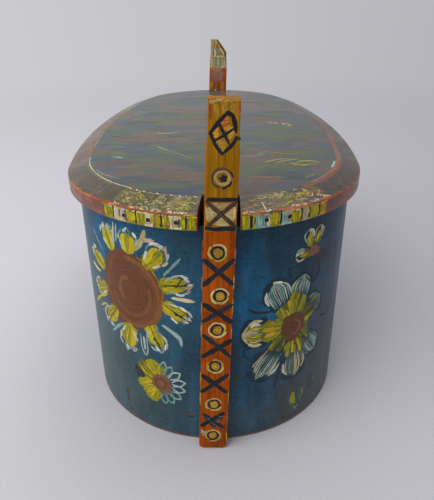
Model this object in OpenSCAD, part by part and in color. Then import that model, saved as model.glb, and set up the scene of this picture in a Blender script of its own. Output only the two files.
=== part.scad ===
// Oval bentwood box with two upright spring posts that clamp its lid.
// Millimetres. The origin is on the floor under the middle of the box, +Y runs along its
// length to the far post, +X to the right of the near post, +Z up.

/* [Box] */
// Length of the bent side band, outside, end to end
box_length = 324; // [260:1:400]
// Width of the side band, outside, at its widest
box_width = 175; // [140:1:230]
// How much smaller the near end's radius is than half the width
near_end_tuck = 3.5; // [1:0.5:20]
// How much smaller the far end's radius is than half the width
far_end_tuck = 14.5; // [1:0.5:30]
// Thickness of the side band
wall = 4; // [3:0.5:6]
// Height of the side band
wall_height = 144; // [90:1:200]
// Thickness of the bottom board
bottom_thickness = 13; // [10:0.5:20]

/* [Lap of the side band] */
// Length of the overlap along the wall
lap_length = 76; // [60:1:100]
// Distance from the overlap's far edge to the bend of the far end
lap_margin = 22; // [10:1:40]
// How far the outer end of the band stands proud where it overlaps
lap_rise = 2; // [1:0.25:3]
// Length over which the outer end is thinned
lap_taper = 8; // [4:1:12]

/* [Root lacing] */
// Width of the split root
root_width = 3.6; // [2.5:0.1:4.5]
// Height of the root above the wood it lies on
root_thickness = 1.3; // [0.8:0.1:1.8]
// Length of one stitch
stitch_length = 7.5; // [6:0.5:10]
// Distance from one stitch to the next on the same face
stitch_gap = 4.5; // [4:0.5:8]
// Distance of each row of stitches from its end of the overlap
row_margin = 19; // [15:1:22]
// Bare height above and below a row
row_end = 12; // [8:1:25]

/* [Pegs] */
// Diameter of the pegs that hold the bottom board
peg_diameter = 4; // [3:0.25:6]
// Length of a bottom peg
peg_length = 18; // [12:1:30]
// Angle from the long axis to the inner pegs at each end
inner_peg_angle = 30; // [20:1:40]
// Angle from the long axis to the outer pegs at each end
outer_peg_angle = 68; // [55:1:80]
// Distance of each flank peg from the bend of the near end
flank_peg_margin = 17; // [5:1:25]
// Diameter of the pegs that hold the posts
post_peg_diameter = 4; // [3:0.25:5]
// Depth of the post pegs in the bottom board
post_peg_depth = 20; // [12:1:30]
// Distance between the two pegs of a post
post_peg_pitch = 8.4; // [7.5:0.1:9.5]

/* [Lid] */
// How far the lid stands out beyond the side band
lid_overhang = 5.5; // [4:0.5:10]
// Height of the lid's upright edge
lid_edge = 8.4; // [6:0.2:12]
// Width of the sloping border, seen from above
bevel_width = 13.5; // [8:0.5:25]
// Height of the flat panel above the upright edge
bevel_rise = 4.5; // [2:0.5:8]
// Depth of the step under the lid that drops into the box
step_depth = 3; // [2:0.5:6]
// Gap round that step
step_gap = 1; // [0.5:0.25:3]
// Extra width of the near notch at its mouth, on the left
notch_flare = 2.5; // [0:0.5:6]

/* [Posts] */
// Width of the near post at its foot
post_foot_width = 16.6; // [15:0.2:24]
// Width of the near post where it passes the lid
post_lid_width = 15.6; // [12:0.2:22]
// Width of the near post at its top
post_top_width = 14.2; // [12:0.2:20]
// How much wider the far post is
far_post_extra = 1.8; // [0:0.2:4]
// Height above the lid at which a post's sides begin to narrow
neck_height = 24; // [16:1:26]
// Height over which they narrow to the top width
neck_length = 10; // [4:1:12]
// Thickness of a post below the lid
post_thickness = 7.2; // [6:0.2:12]
// Thickness of a post at its top
post_top_thickness = 6.4; // [4:0.2:9]
// How far the near post rises above the lid's flat top
near_post_rise = 50; // [44:1:80]
// How far the far post rises above the lid's flat top
far_post_rise = 47.5; // [44:0.5:80]
// Sideways place of the near post's foot
near_post_shift = -2.2; // [-6:0.1:6]
// Sideways place of the far post's foot
far_post_shift = -2; // [-6:0.1:6]
// Lean of the near post to the right, in degrees
near_post_lean = 2; // [-4:0.1:4]
// Lean of the far post to the right, in degrees
far_post_lean = 2; // [-4:0.1:4]
// Width of the cut corner on the far post
corner_width = 9; // [0:0.5:11]
// Height of the cut corner on the far post
corner_height = 11.5; // [0:0.5:12]
// Radius of the foot's lower corners
foot_round = 2.5; // [1:0.25:5]
// How far the head of a post reaches in over the rim
head_reach = 9; // [6:0.5:12]
// Height of the full head above the lid
head_height = 12; // [6:1:20]
// Height over which the head's top runs out to the thin top of the post
head_slope = 16; // [8:1:20]
// How far the head's face falls back between the lid and the head's top
head_draft = 1; // [0:0.25:2]
// Slant of the head's inner face, which holds the lid down, in degrees
snap_angle = 5; // [2:0.25:5]

/* [Fits] */
// Gap between a post and what it swings or slides past
running_gap = 0.3; // [0.2:0.05:0.5]
// Gap between a post and the sides of its notch in the lid
notch_gap = 0.5; // [0.4:0.1:1.5]
// Gap round a post peg, which lets the post swing out
swing_gap = 0.35; // [0.3:0.05:0.6]
// Gap between pieces that are driven together
drive_gap = 0.02; // [0:0.01:0.05]
// Gap between the bottom board and the band
board_gap = 0.15; // [0.05:0.05:0.3]

/* [Hidden] */

BLUE = "#1f5674";
RUST = "#a2551d";
OCHRE = "#bd9448";
PINE = "#c8a468";
ROOT = "#b98d52";
LID = "#5f6f78";

// Points on one end arc of the oval, and on one flank arc
END_STEPS = 44;
FLANK_STEPS = 22;
// Steps of the curve in which a post's head runs out
RUN_OUT_STEPS = 12;
// How far a cut runs past the face that it opens
OVER = 1;

half_width = box_width / 2;
near_radius = half_width - near_end_tuck;
far_radius = half_width - far_end_tuck;
near_y = -box_length / 2 + near_radius;
far_y = box_length / 2 - far_radius;

// The flank arcs touch both end arcs. near_run and far_run are the distances along Y from
// the widest place to the middles of the two end arcs.
end_span = far_y - near_y;
tuck_difference = far_end_tuck - near_end_tuck;
flank_b = 2 * near_end_tuck * end_span;
flank_c = near_end_tuck * (end_span * end_span - far_end_tuck * tuck_difference);
near_run = 2 * flank_c / (flank_b + sqrt(flank_b * flank_b + 4 * tuck_difference * flank_c));
far_run = end_span - near_run;
widest_y = near_y + near_run;
flank_radius = (near_run * near_run / near_end_tuck + near_radius + half_width) / 2;
flank_x = flank_radius - half_width;
near_turn = atan2(near_run, flank_x);
far_turn = atan2(far_run, flank_x);

lid_rim = wall_height + lid_edge;
lid_top = lid_rim + bevel_rise;
near_post_height = lid_top + near_post_rise;
far_post_height = lid_top + far_post_rise;
neck_from = lid_top + neck_height;
neck_to = neck_from + neck_length;
peg_height = bottom_thickness / 2;
peg_radius = peg_diameter / 2;
post_peg_radius = post_peg_diameter / 2;

// Places along the right flank, measured from the widest place: the overlap, the two rows of
// lacing in it, and the flank pegs
lap_to = far_run - lap_margin;
lap_from = lap_to - lap_length;
near_row = lap_from + row_margin;
far_row = lap_to - row_margin;
flank_peg = flank_peg_margin - near_run;

// A post's outer face, the lift of its foot and the swing relief of its inner face there
post_face = running_gap + post_thickness;
foot_lift = 0.6;
foot_relief = 0.4;

// Distances run inwards from the box's end. The head leans in over the lid by snap_angle.
function head_face(z) = head_reach + (z - wall_height) * tan(snap_angle);

function arc(x, y, radius, from, to, steps) = [
    for (i = [0 : steps - 1])
        let (a = from + (to - from) * i / steps)
            [x + radius * cos(a), y + radius * sin(a)]
];

// The outline of the box, moved outwards by grow
function oval_points(grow) = concat(
    arc(-flank_x, widest_y, flank_radius + grow, -near_turn, far_turn, FLANK_STEPS),
    arc(0, far_y, far_radius + grow, far_turn, 180 - far_turn, END_STEPS),
    arc(flank_x, widest_y, flank_radius + grow, 180 - far_turn, 180 + near_turn, FLANK_STEPS),
    arc(0, near_y, near_radius + grow, 180 + near_turn, 360 - near_turn, END_STEPS)
);

module oval(grow) {
    polygon(oval_points(grow));
}

// Places children on the right flank's outer face, with +X pointing out of the wall
module on_flank(along) {
    translate([-flank_x, widest_y, 0])
        rotate(asin(along / flank_radius))
            translate([flank_radius, 0, 0])
                children();
}

// A frame at the foot of each post, with +Y pointing into the box
module near_end() {
    translate([near_post_shift, -box_length / 2, 0])
        children();
}

module far_end() {
    translate([far_post_shift, box_length / 2, 0])
        rotate(180)
            children();
}

// A round bar from out to in along the local +Y of a post's frame
module bar_inwards(radius, from, to) {
    translate([0, from, 0])
        rotate([-90, 0, 0])
            cylinder(r = radius, h = to - from, $fn = 48);
}

// ---- bottom pegs ----

// Each peg's direction is local -X, and the local origin is on the band's outer face
module at_bottom_pegs() {
    for (side = [-1, 1], turn = [inner_peg_angle, outer_peg_angle]) {
        translate([0, near_y, peg_height])
            rotate(-90 + side * turn)
                translate([near_radius, 0, 0])
                    children();
        translate([0, far_y, peg_height])
            rotate(90 + side * turn)
                translate([far_radius, 0, 0])
                    children();
    }
    for (side = [0, 1])
        mirror([side, 0, 0])
            translate([0, 0, peg_height])
                on_flank(flank_peg)
                    children();
}

module bottom_peg(gap, out) {
    translate([-peg_length - gap, 0, 0])
        rotate([0, 90, 0])
            cylinder(r = peg_radius + gap, h = peg_length + gap + out, $fn = 48);
}

module bottom_pegs() {
    color(PINE)
        at_bottom_pegs()
            bottom_peg(0, 0);
}

// ---- post pegs ----

module at_post_pegs(lean) {
    rotate([0, lean, 0])
        for (side = [-1, 1])
            translate([side * post_peg_pitch / 2, 0, peg_height])
                children();
}

module post_pegs(lean) {
    at_post_pegs(lean)
        bar_inwards(post_peg_radius, -post_face, wall + post_peg_depth);
}

module post_peg_holes(lean) {
    at_post_pegs(lean)
        bar_inwards(post_peg_radius + drive_gap, -OVER, wall + post_peg_depth + drive_gap);
}

module near_post_pegs() {
    color(PINE)
        near_end()
            post_pegs(near_post_lean);
}

module far_post_pegs() {
    color(PINE)
        far_end()
            post_pegs(-far_post_lean);
}

// ---- box ----

module bottom_board() {
    color(PINE)
        difference() {
            linear_extrude(bottom_thickness)
                oval(-wall - board_gap);
            at_bottom_pegs()
                bottom_peg(drive_gap, OVER);
            near_end()
                post_peg_holes(near_post_lean);
            far_end()
                post_peg_holes(-far_post_lean);
        }
}

// The outer end of the band, thinned to an edge, lying on the flank arc
module lap_outline() {
    from = asin(lap_from / flank_radius);
    to = asin(lap_to / flank_radius);
    thin = asin(lap_taper / flank_radius);
    polygon(concat(
        arc(-flank_x, widest_y, flank_radius - wall / 2, to, from, FLANK_STEPS),
        arc(-flank_x, widest_y, flank_radius, from, from + thin, 2),
        arc(-flank_x, widest_y, flank_radius + lap_rise, from + thin, to, FLANK_STEPS)
    ));
}

module side_band() {
    color(BLUE)
        difference() {
            linear_extrude(wall_height) {
                difference() {
                    oval(0);
                    oval(-wall);
                }
                lap_outline();
            }
            at_bottom_pegs()
                bottom_peg(drive_gap, OVER);
            near_end()
                post_peg_holes(near_post_lean);
            far_end()
                post_peg_holes(-far_post_lean);
            for (row = [near_row, far_row])
                on_flank(row)
                    root_slits();
        }
}

// ---- root lacing ----

stitch_pitch = stitch_length + stitch_gap;
stitches = floor((wall_height - bottom_thickness - 2 * row_end + stitch_gap) / stitch_pitch);
first_stitch = bottom_thickness + (wall_height - bottom_thickness
    - stitches * stitch_pitch + stitch_gap) / 2;
root_leg = 1.8;
root_gap = 0.05;

// The root passes through the wall at both ends of each outer stitch
module at_root_legs() {
    for (i = [0 : stitches - 1], end = [0, stitch_length - root_leg])
        translate([0, 0, first_stitch + i * stitch_pitch + end])
            children();
}

module root_slits() {
    at_root_legs()
        translate([-wall - OVER, -root_width / 2 - root_gap, -root_gap])
            cube([wall + lap_rise + 2 * OVER, root_width + 2 * root_gap, root_leg + 2 * root_gap]);
}

// A half-round stretch of root that lies on a face and bulges along +X
module root_bar(bottom, length) {
    radius = (root_width * root_width / 4 + root_thickness * root_thickness)
        / (2 * root_thickness);
    translate([0, 0, bottom])
        intersection() {
            translate([root_thickness - radius, 0, 0])
                cylinder(r = radius, h = length, $fn = 48);
            translate([0, -root_width, 0])
                cube([root_thickness, 2 * root_width, length]);
        }
}

// One root: stitches outside, shorter stitches inside that join them, and legs between
module root_row() {
    outside = lap_rise + root_gap;
    inside = -wall - root_gap;
    for (i = [0 : stitches - 1])
        translate([outside, 0, 0])
            root_bar(first_stitch + i * stitch_pitch, stitch_length);
    for (i = [0 : stitches - 2])
        translate([inside, 0, 0])
            rotate(180)
                root_bar(first_stitch + i * stitch_pitch + stitch_length - root_leg,
                    stitch_gap + 2 * root_leg);
    at_root_legs()
        translate([inside - root_thickness / 2, -root_width / 2 + root_gap, 0])
            cube([outside - inside + root_thickness, root_width - 2 * root_gap, root_leg]);
}

module near_lap_root() {
    color(ROOT)
        on_flank(near_row)
            root_row();
}

module far_lap_root() {
    color(ROOT)
        on_flank(far_row)
            root_row();
}

// ---- posts ----

// A post seen from the side: thin below, a head over the rim and lid that runs out in an
// S-curve, and thin again at the top. A leaning head keeps its lower side clear of the rim.
module post_side(height, lean) {
    inner = -running_gap;
    shoulder_drop = (post_foot_width + far_post_extra) / 2 * abs(sin(lean));
    shoulder = (wall_height + running_gap + shoulder_drop) / cos(lean);
    top_inner = post_top_thickness - post_face;
    head_tip = head_face(lid_top) - head_draft;
    head_top = lid_top + head_height;
    polygon(concat(
        [
            [-post_face, foot_lift],
            [inner - foot_relief, foot_lift],
            [inner, peg_height],
            [inner, shoulder],
            [head_face(shoulder), shoulder],
            [head_face(lid_top), lid_top],
        ],
        [
            for (turn = [0 : 180 / RUN_OUT_STEPS : 180])
                [top_inner + (head_tip - top_inner) * (1 + cos(turn)) / 2,
                    head_top + head_slope * turn / 180]
        ],
        [[top_inner, height], [-post_face, height]]
    ));
}

// A post seen from the front, with an optional cut top corner on the left
module post_front(height, extra, cut) {
    foot = (post_foot_width + extra) / 2;
    middle = (post_lid_width + extra) / 2;
    top = (post_top_width + extra) / 2;
    corner_z = foot_lift + foot_round;
    cut_z = max(height - cut[1], neck_to + 1);
    polygon(concat(
        arc(-foot + foot_round, corner_z, foot_round, 180, 270, 6),
        [[-foot + foot_round, foot_lift]],
        arc(foot - foot_round, corner_z, foot_round, 270, 360, 6),
        [[foot, corner_z], [middle, lid_rim], [middle, neck_from], [top, neck_to], [top, height]],
        cut[0] > 0 ? [[-top + cut[0], height], [-top, cut_z]] : [[-top, height]],
        [[-top, neck_to], [-middle, neck_from], [-middle, lid_rim]]
    ));
}

module post(height, lean, extra, cut) {
    rotate([0, lean, 0])
        difference() {
            intersection() {
                rotate([90, 0, 90])
                    linear_extrude(2 * post_foot_width, center = true)
                        post_side(height, lean);
                rotate([90, 0, 0])
                    linear_extrude(4 * post_face + 4 * head_reach, center = true)
                        post_front(height, extra, cut);
            }
            at_post_pegs(0)
                bar_inwards(post_peg_radius + swing_gap, -post_face - OVER, OVER);
        }
}

module near_post() {
    color(OCHRE)
        near_end()
            post(near_post_height, near_post_lean, 0, [0, 0]);
}

module far_post() {
    color(RUST)
        far_end()
            post(far_post_height, -far_post_lean, far_post_extra, [corner_width, corner_height]);
}

// ---- lid ----

// How far a post that leans by lean degrees reaches to the right, above the rim of the box
function post_reach(height, lean, extra) = max([
    for (at = [
        [wall_height, post_lid_width],
        [neck_from, post_lid_width],
        [neck_to, post_top_width],
        [height, post_top_width],
    ])
        at[0] * tan(lean) + (at[1] + extra) / 2
]);

// A notch in the lid's end that lets the lid rise straight up past a post
module post_notch(height, lean, extra, flare) {
    right = post_reach(height, lean, extra) + notch_gap;
    left = -post_reach(height, -lean, extra) - notch_gap;
    deep = head_face(lid_top) + running_gap;
    mouth = -lid_overhang - OVER;
    low = wall_height - step_depth - OVER;
    high = lid_top + OVER;
    intersection() {
        translate([0, 0, low])
            linear_extrude(high - low)
                polygon([
                    [left - flare, mouth],
                    [right, mouth],
                    [right, deep + OVER],
                    [left, deep + OVER],
                ]);
        rotate([90, 0, 90])
            linear_extrude(6 * post_foot_width, center = true)
                polygon([
                    [mouth - OVER, low - OVER],
                    [head_face(low - OVER) + running_gap, low - OVER],
                    [head_face(high + OVER) + running_gap, high + OVER],
                    [mouth - OVER, high + OVER],
                ]);
    }
}

module lid_board() {
    color(LID)
        difference() {
            union() {
                hull() {
                    translate([0, 0, wall_height])
                        linear_extrude(lid_edge)
                            oval(lid_overhang);
                    translate([0, 0, wall_height])
                        linear_extrude(lid_edge + bevel_rise)
                            oval(lid_overhang - bevel_width);
                }
                translate([0, 0, wall_height - step_depth])
                    linear_extrude(step_depth + OVER)
                        oval(-wall - step_gap);
            }
            near_end()
                post_notch(near_post_height, near_post_lean, 0, notch_flare);
            far_end()
                post_notch(far_post_height, -far_post_lean, far_post_extra, 0);
        }
}

bottom_board();
side_band();
near_lap_root();
far_lap_root();
bottom_pegs();
near_post_pegs();
far_post_pegs();
near_post();
far_post();
lid_board();
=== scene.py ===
# Looks of a painted tine box: an oval bentwood box whose board lid is held by two sprung
# posts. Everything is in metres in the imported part's own frame. Sizes in this file are written
# in millimetres and turned to metres where a vertex gets its place.

import math
import random

import bmesh
import bpy
from mathutils import Matrix, Vector, noise
from mathutils.bvhtree import BVHTree


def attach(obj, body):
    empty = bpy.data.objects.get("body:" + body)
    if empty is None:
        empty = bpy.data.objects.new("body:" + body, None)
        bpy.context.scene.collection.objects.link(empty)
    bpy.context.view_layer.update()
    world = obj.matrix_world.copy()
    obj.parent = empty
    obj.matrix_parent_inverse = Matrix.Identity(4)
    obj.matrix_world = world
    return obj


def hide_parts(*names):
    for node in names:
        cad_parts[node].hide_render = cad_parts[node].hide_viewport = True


bl_info = {
    "name": "Painted Tine Box",
    "version": (1, 0, 0),
    "blender": (4, 5, 0),
    "location": "3D View > Sidebar > Tine Box",
    "description": "Builds the painted wood of a tine box round its packed solids",
    "category": "Add Mesh",
}

MM = 0.001
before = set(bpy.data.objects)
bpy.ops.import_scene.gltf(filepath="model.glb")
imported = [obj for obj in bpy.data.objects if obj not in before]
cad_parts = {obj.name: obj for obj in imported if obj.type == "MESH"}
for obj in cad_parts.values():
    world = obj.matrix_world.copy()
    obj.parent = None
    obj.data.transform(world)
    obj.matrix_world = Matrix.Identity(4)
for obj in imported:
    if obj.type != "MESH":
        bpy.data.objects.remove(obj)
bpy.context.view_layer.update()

# ---- sizes in millimetres, from the part's source ----

WALL = 4.0
WALL_HEIGHT = 144.0
HALF_LENGTH = 162.0
NEAR_RADIUS, NEAR_Y = 84.0, -78.0
FAR_RADIUS, FAR_Y = 73.0, 89.0
FLANK_RADIUS, FLANK_X, WIDEST_Y = 514.48, 426.98, -23.22
NEAR_TURN, FAR_TURN = math.radians(7.311), math.radians(14.725)
LAP_FROM, LAP_TO, LAP_RISE, LAP_TAPER = 14.2, 90.2, 2.0, 8.0
LAP_END = 100.0  # along the flank, past the whole lap
LAP_EDGE = 0.55  # share of its thickness that the lapped end keeps at its thin edge
BAND_ROUND, LAP_ROUND = 0.7, 0.6

LID_RIM, LID_TOP = 152.4, 156.9
LID_OUT, PANEL_OUT, STEP_OUT = 5.5, -8.0, -5.0
STEP_LOW = 141.0
LID_ROUND, PANEL_ROUND = 0.55, 1.2
NOTCH_FLOOR = 9.3  # from the wall's outer face, at the height of the wall's top
# Left and right side of each notch, the flare of its mouth and its depth
NEAR_NOTCH = (-5.8, 12.6, 2.5, 10.4)
FAR_NOTCH = (-5.6, 13.7, 0.0, 10.4)

# A post's side view, inwards from the wall's outer face, and its heights
POST_FACE, POST_BACK, FOOT_BACK, BLADE = 7.5, -0.3, -0.7, 6.4
FOOT_LIFT, FOOT_ROUND, FOOT_TOP = 0.6, 2.5, 6.5
HEAD_REACH, HEAD_GAP, HEAD_STEP = 9, 0.7, 1.0
HEAD_TOP, BLADE_FROM, NECK_CURVE = 12, 28, 7.0  # the first two are above the lid's top
NECK_FROM, NECK_TO = 180.9, 190.9
POST_LEVELS = [30, 60, 90, 120, LID_RIM, NECK_FROM, 183.4, 185.9, 188.4, NECK_TO]
SNAP_SLOPE = math.tan(math.radians(5))
LEAN = math.radians(2)
# Where each post stands, its height and its widths at the foot, the lid and the top
NEAR_POST_X, NEAR_POST_TALL, NEAR_POST_WIDTHS = -2.2, 206.9, (16.6, 15.6, 14.2)
FAR_POST_X, FAR_POST_TALL, FAR_POST_WIDTHS = -2.0, 204.4, (18.4, 17.4, 16.0)
FAR_POST_CORNER = (9.0, 11.5)  # across and down, the top corner that is cut off
WAVER = 0.15  # how far the carver's hand strayed from a straight side
# Heights at which the near and the far post change from rust below to their upper colour
COAT_CHANGE, FAR_COAT_CHANGE = 145.0, 178.0

# The oval from the middle of the near end, going to the right: each arc's centre, radius,
# first angle, turn and number of steps
RIGHT_ARCS = [
    ((0.0, NEAR_Y), NEAR_RADIUS, -math.pi / 2, math.pi / 2 - NEAR_TURN, 34),
    ((-FLANK_X, WIDEST_Y), FLANK_RADIUS, -NEAR_TURN, NEAR_TURN + FAR_TURN, 24),
    ((0.0, FAR_Y), FAR_RADIUS, FAR_TURN, math.pi / 2 - FAR_TURN, 28),
]
OVERRUN = 1.2  # how far a place may lie past the last arc's end, as a share of that arc
FLANK_START = NEAR_RADIUS * (math.pi / 2 - NEAR_TURN) + FLANK_RADIUS * NEAR_TURN


# ---- small helpers ----


def linear(colour):
    """An sRGB hex colour as the linear colour that the shaders use."""
    parts = [int(colour[i : i + 2], 16) / 255 for i in (1, 3, 5)]
    return (*(c / 12.92 if c <= 0.04045 else ((c + 0.055) / 1.055) ** 2.4 for c in parts), 1.0)


def shade(colour, share):
    """A lighter or darker tone of a linear colour."""
    return (*(min(1.0, c * share) for c in tuple(colour)[:3]), 1.0)


def three_tones(base, dark, light):
    """Colour stops from a darker tone of a linear colour over its own to a lighter one."""
    return [(0.30, shade(base, dark)), (0.50, shade(base, 1.0)), (0.72, shade(base, light))]


def settings():
    return bpy.context.scene.tine_box


def on_oval(along, out=0.0):
    """The point and the outward normal on the box's outline, along millimetres to the right."""
    side = 1 if along >= 0 else -1
    left = abs(along)
    for centre, radius, start, turn, _ in RIGHT_ARCS:
        length = radius * turn
        if left <= length or radius == FAR_RADIUS:
            angle = start + min(left, OVERRUN * length) / radius
            break
        left -= length
    normal = Vector((side * math.cos(angle), math.sin(angle), 0))
    point = Vector((side * (centre[0] + (radius + out) * math.cos(angle)),
                    centre[1] + (radius + out) * math.sin(angle), 0))
    return point, normal


def lap_out(along):
    """How far the lapped end of the band stands out at a place along the wall."""
    past = FLANK_RADIUS * math.sin((along - FLANK_START) / FLANK_RADIUS)
    if not LAP_FROM < past < LAP_TO or along > FLANK_START + LAP_END:
        return 0.0
    return LAP_RISE * min(1.0, (past - LAP_FROM) / LAP_TAPER)


def on_wall(along, height):
    """A place on the painted wall: along millimetres from the middle of the near end."""
    point, normal = on_oval(along, settings().skin / MM + lap_out(along))
    point.z = height
    return point, normal


def on_lid_edge(along, height):
    """A place on the lid's upright edge: along millimetres from the middle of the near end."""
    point, normal = on_oval(along, LID_OUT)
    point.z = height
    return point, normal


def on_near_post(across, height):
    """A place on the near post's outer face."""
    return (Vector((across, -HALF_LENGTH - POST_FACE - settings().skin / MM, height)),
            Vector((0, -1, 0)))


def cast_on(piece, start, direction):
    """A surface for brushwork: casts from start(across, up) along direction onto a piece."""
    tree = BVHTree.FromObject(piece, bpy.context.evaluated_depsgraph_get())

    def land(across, up):
        hit, normal, _, _ = tree.ray_cast(start(across, up) * MM, direction)
        if hit is None:
            hit, normal, _, _ = tree.find_nearest(start(across, up) * MM)
        return hit / MM, normal

    return land


def corners(bm, places):
    return [bm.verts.new(Vector(p) * MM) for p in places]


def verts_of(geometry):
    return [g for g in geometry if isinstance(g, bmesh.types.BMVert)]


def edges_of(geometry):
    return [g for g in geometry if isinstance(g, bmesh.types.BMEdge)]


def round_over(bm, geometry, size, segments=3, affect="EDGES"):
    """Rounds edges, or the corners of an outline, by a size in millimetres."""
    return bmesh.ops.bevel(bm, geom=geometry, offset=size * MM, offset_type="OFFSET",
                           segments=segments, profile=0.5, affect=affect, material=-1,
                           clamp_overlap=affect == "EDGES")


def sharp_edges(bm, angle=30.0):
    limit = math.radians(angle)
    return [e for e in bm.edges if e.is_manifold and e.calc_face_angle(0.0) > limit]


def spin_round_oval(bm, profile):
    """Spins a profile that stands at the middle of the near end round the oval's arcs."""
    arcs = [(c, turn, steps) for c, _, _, turn, steps in RIGHT_ARCS]
    arcs += [((-c[0], c[1]), turn, steps) for c, turn, steps in reversed(arcs)]
    last = profile
    for centre, turn, steps in arcs:
        made = bmesh.ops.spin(bm, geom=last, cent=(centre[0] * MM, centre[1] * MM, 0),
                              axis=(0, 0, 1), angle=turn, steps=steps)
        last = made["geom_last"]
    bmesh.ops.remove_doubles(bm, verts=bm.verts, dist=0.01 * MM)


def place_in_scene(bm, name):
    """Turns a bmesh into an object of the scene."""
    mesh = bpy.data.meshes.new(name)
    bm.to_mesh(mesh)
    bm.free()
    made = bpy.data.objects.new(name, mesh)
    bpy.context.scene.collection.objects.link(made)
    return made


def keep(bm, name, body, replaced=(), paints=(), smooth=35.0):
    """Turns a bmesh into a piece that rides on a body and wears its paints."""
    piece = place_in_scene(bm, name)
    mesh = piece.data
    mesh.polygons.foreach_set("use_smooth", [True] * len(mesh.polygons))
    mesh.set_sharp_from_angle(angle=math.radians(smooth))
    for paint in paints:
        mesh.materials.append(paint)
    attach(piece, body)
    if replaced:
        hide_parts(*replaced)
    return piece


# ---- materials ----


def node_adder(tree):
    """The function that adds nodes to a tree: it sets a node's values and colour stops, feeds
    its sockets, and returns one output."""

    def add(kind, feeds=None, out=0, ramp=None, **values):
        node = tree.nodes.new("ShaderNode" + kind)
        for key, value in values.items():
            setattr(node, key, value)
        for key, value in (feeds or {}).items():
            if isinstance(value, bpy.types.NodeSocket):
                tree.links.new(value, node.inputs[key])
            else:
                node.inputs[key].default_value = value
        for i, (place, colour) in enumerate(ramp or []):
            stops = node.color_ramp.elements
            stop = stops[i] if i < 2 else stops.new(place)
            stop.position = place
            stop.color = linear(colour) if isinstance(colour, str) else colour
        return node.outputs[out] if node.outputs else node

    return add


def start_material(name):
    """A new material without nodes, and the function that adds them."""
    found = bpy.data.materials.new(name)
    found.use_nodes = True
    found.node_tree.nodes.clear()
    return found, node_adder(found.node_tree)


def streaks(add, where, stretch, size, detail=4.0, rough=0.6):
    """Noise drawn out along the brush or the grain. Size is its finest width in millimetres."""
    placed = add("Mapping", {"Vector": where, "Scale": stretch})
    return add("TexNoise", {"Vector": placed, "Scale": 1 / (size * MM), "Detail": detail,
                            "Roughness": rough})


def cover_in_places(add, ground, places):
    """Lays other tones over a ground. Each place has its pattern, the pattern's values where it
    starts and is full, its strength there and its tone."""
    for pattern, start, full, strength, tone in places:
        share = add("MapRange", {0: pattern, 1: start, 2: full, 3: 0.0, 4: strength})
        ground = add("MixRGB", {"Fac": share, "Color1": ground, "Color2": linear(tone)})
    return ground


def finish_surface(add, colour, rough, relief, depth, gloss=0.5):
    """The painted or bare surface over a colour, with its relief in millimetres."""
    bump = add("Bump", {"Height": relief, "Distance": depth * MM, "Strength": 1.0})
    surface = add("BsdfPrincipled", {"Base Color": colour, "Roughness": rough, "IOR": 1.5,
                                     "Specular IOR Level": gloss, "Normal": bump})
    add("OutputMaterial", {"Surface": surface})


# Places on the wall where the blue turns greyer, greener or darker: along, up, reach in
# millimetres, tone and strength. The grey patches on the near left are a painted reflection
# of the window; the others only change the tone.
WALL_PATCHES_AND_SHEEN = [
    (-74.0, 34.0, 66.0, "#48544a", 1.0), (-104.0, 84.0, 60.0, "#485452", 0.8),
    (-58.0, 46.0, 24.0, "#1e3634", 0.6), (-44.0, 20.0, 18.0, "#24402c", 0.5),
    (-30.0, 104.0, 50.0, "#244452", 0.85), (-22.0, 14.0, 44.0, "#364c50", 0.9),
    (-12.0, 136.0, 30.0, "#1b3848", 0.8),
    (-18.0, 62.0, 44.0, "#284450", 0.85), (18.0, 90.0, 34.0, "#0e6490", 0.6),
    (76.0, 44.0, 80.0, "#38393a", 1.0), (62.0, 122.0, 56.0, "#20282c", 0.95),
    (26.0, 134.0, 30.0, "#12303e", 0.7), (22.0, 6.0, 36.0, "#3c4c4e", 0.8),
    (60.0, 8.0, 40.0, "#4c4a40", 0.7), (160.0, 60.0, 70.0, "#254a58", 0.5),
    (260.0, 90.0, 80.0, "#1c4f6e", 0.6), (-190.0, 50.0, 70.0, "#22485a", 0.6),
    (-280.0, 90.0, 70.0, "#1f5474", 0.6), (350.0, 30.0, 60.0, "#2b4644", 0.6),
    (-360.0, 40.0, 60.0, "#28434a", 0.6),
]

PATCH_RAGGED = 50.0  # how far a patch's rim wanders, in millimetres


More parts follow.
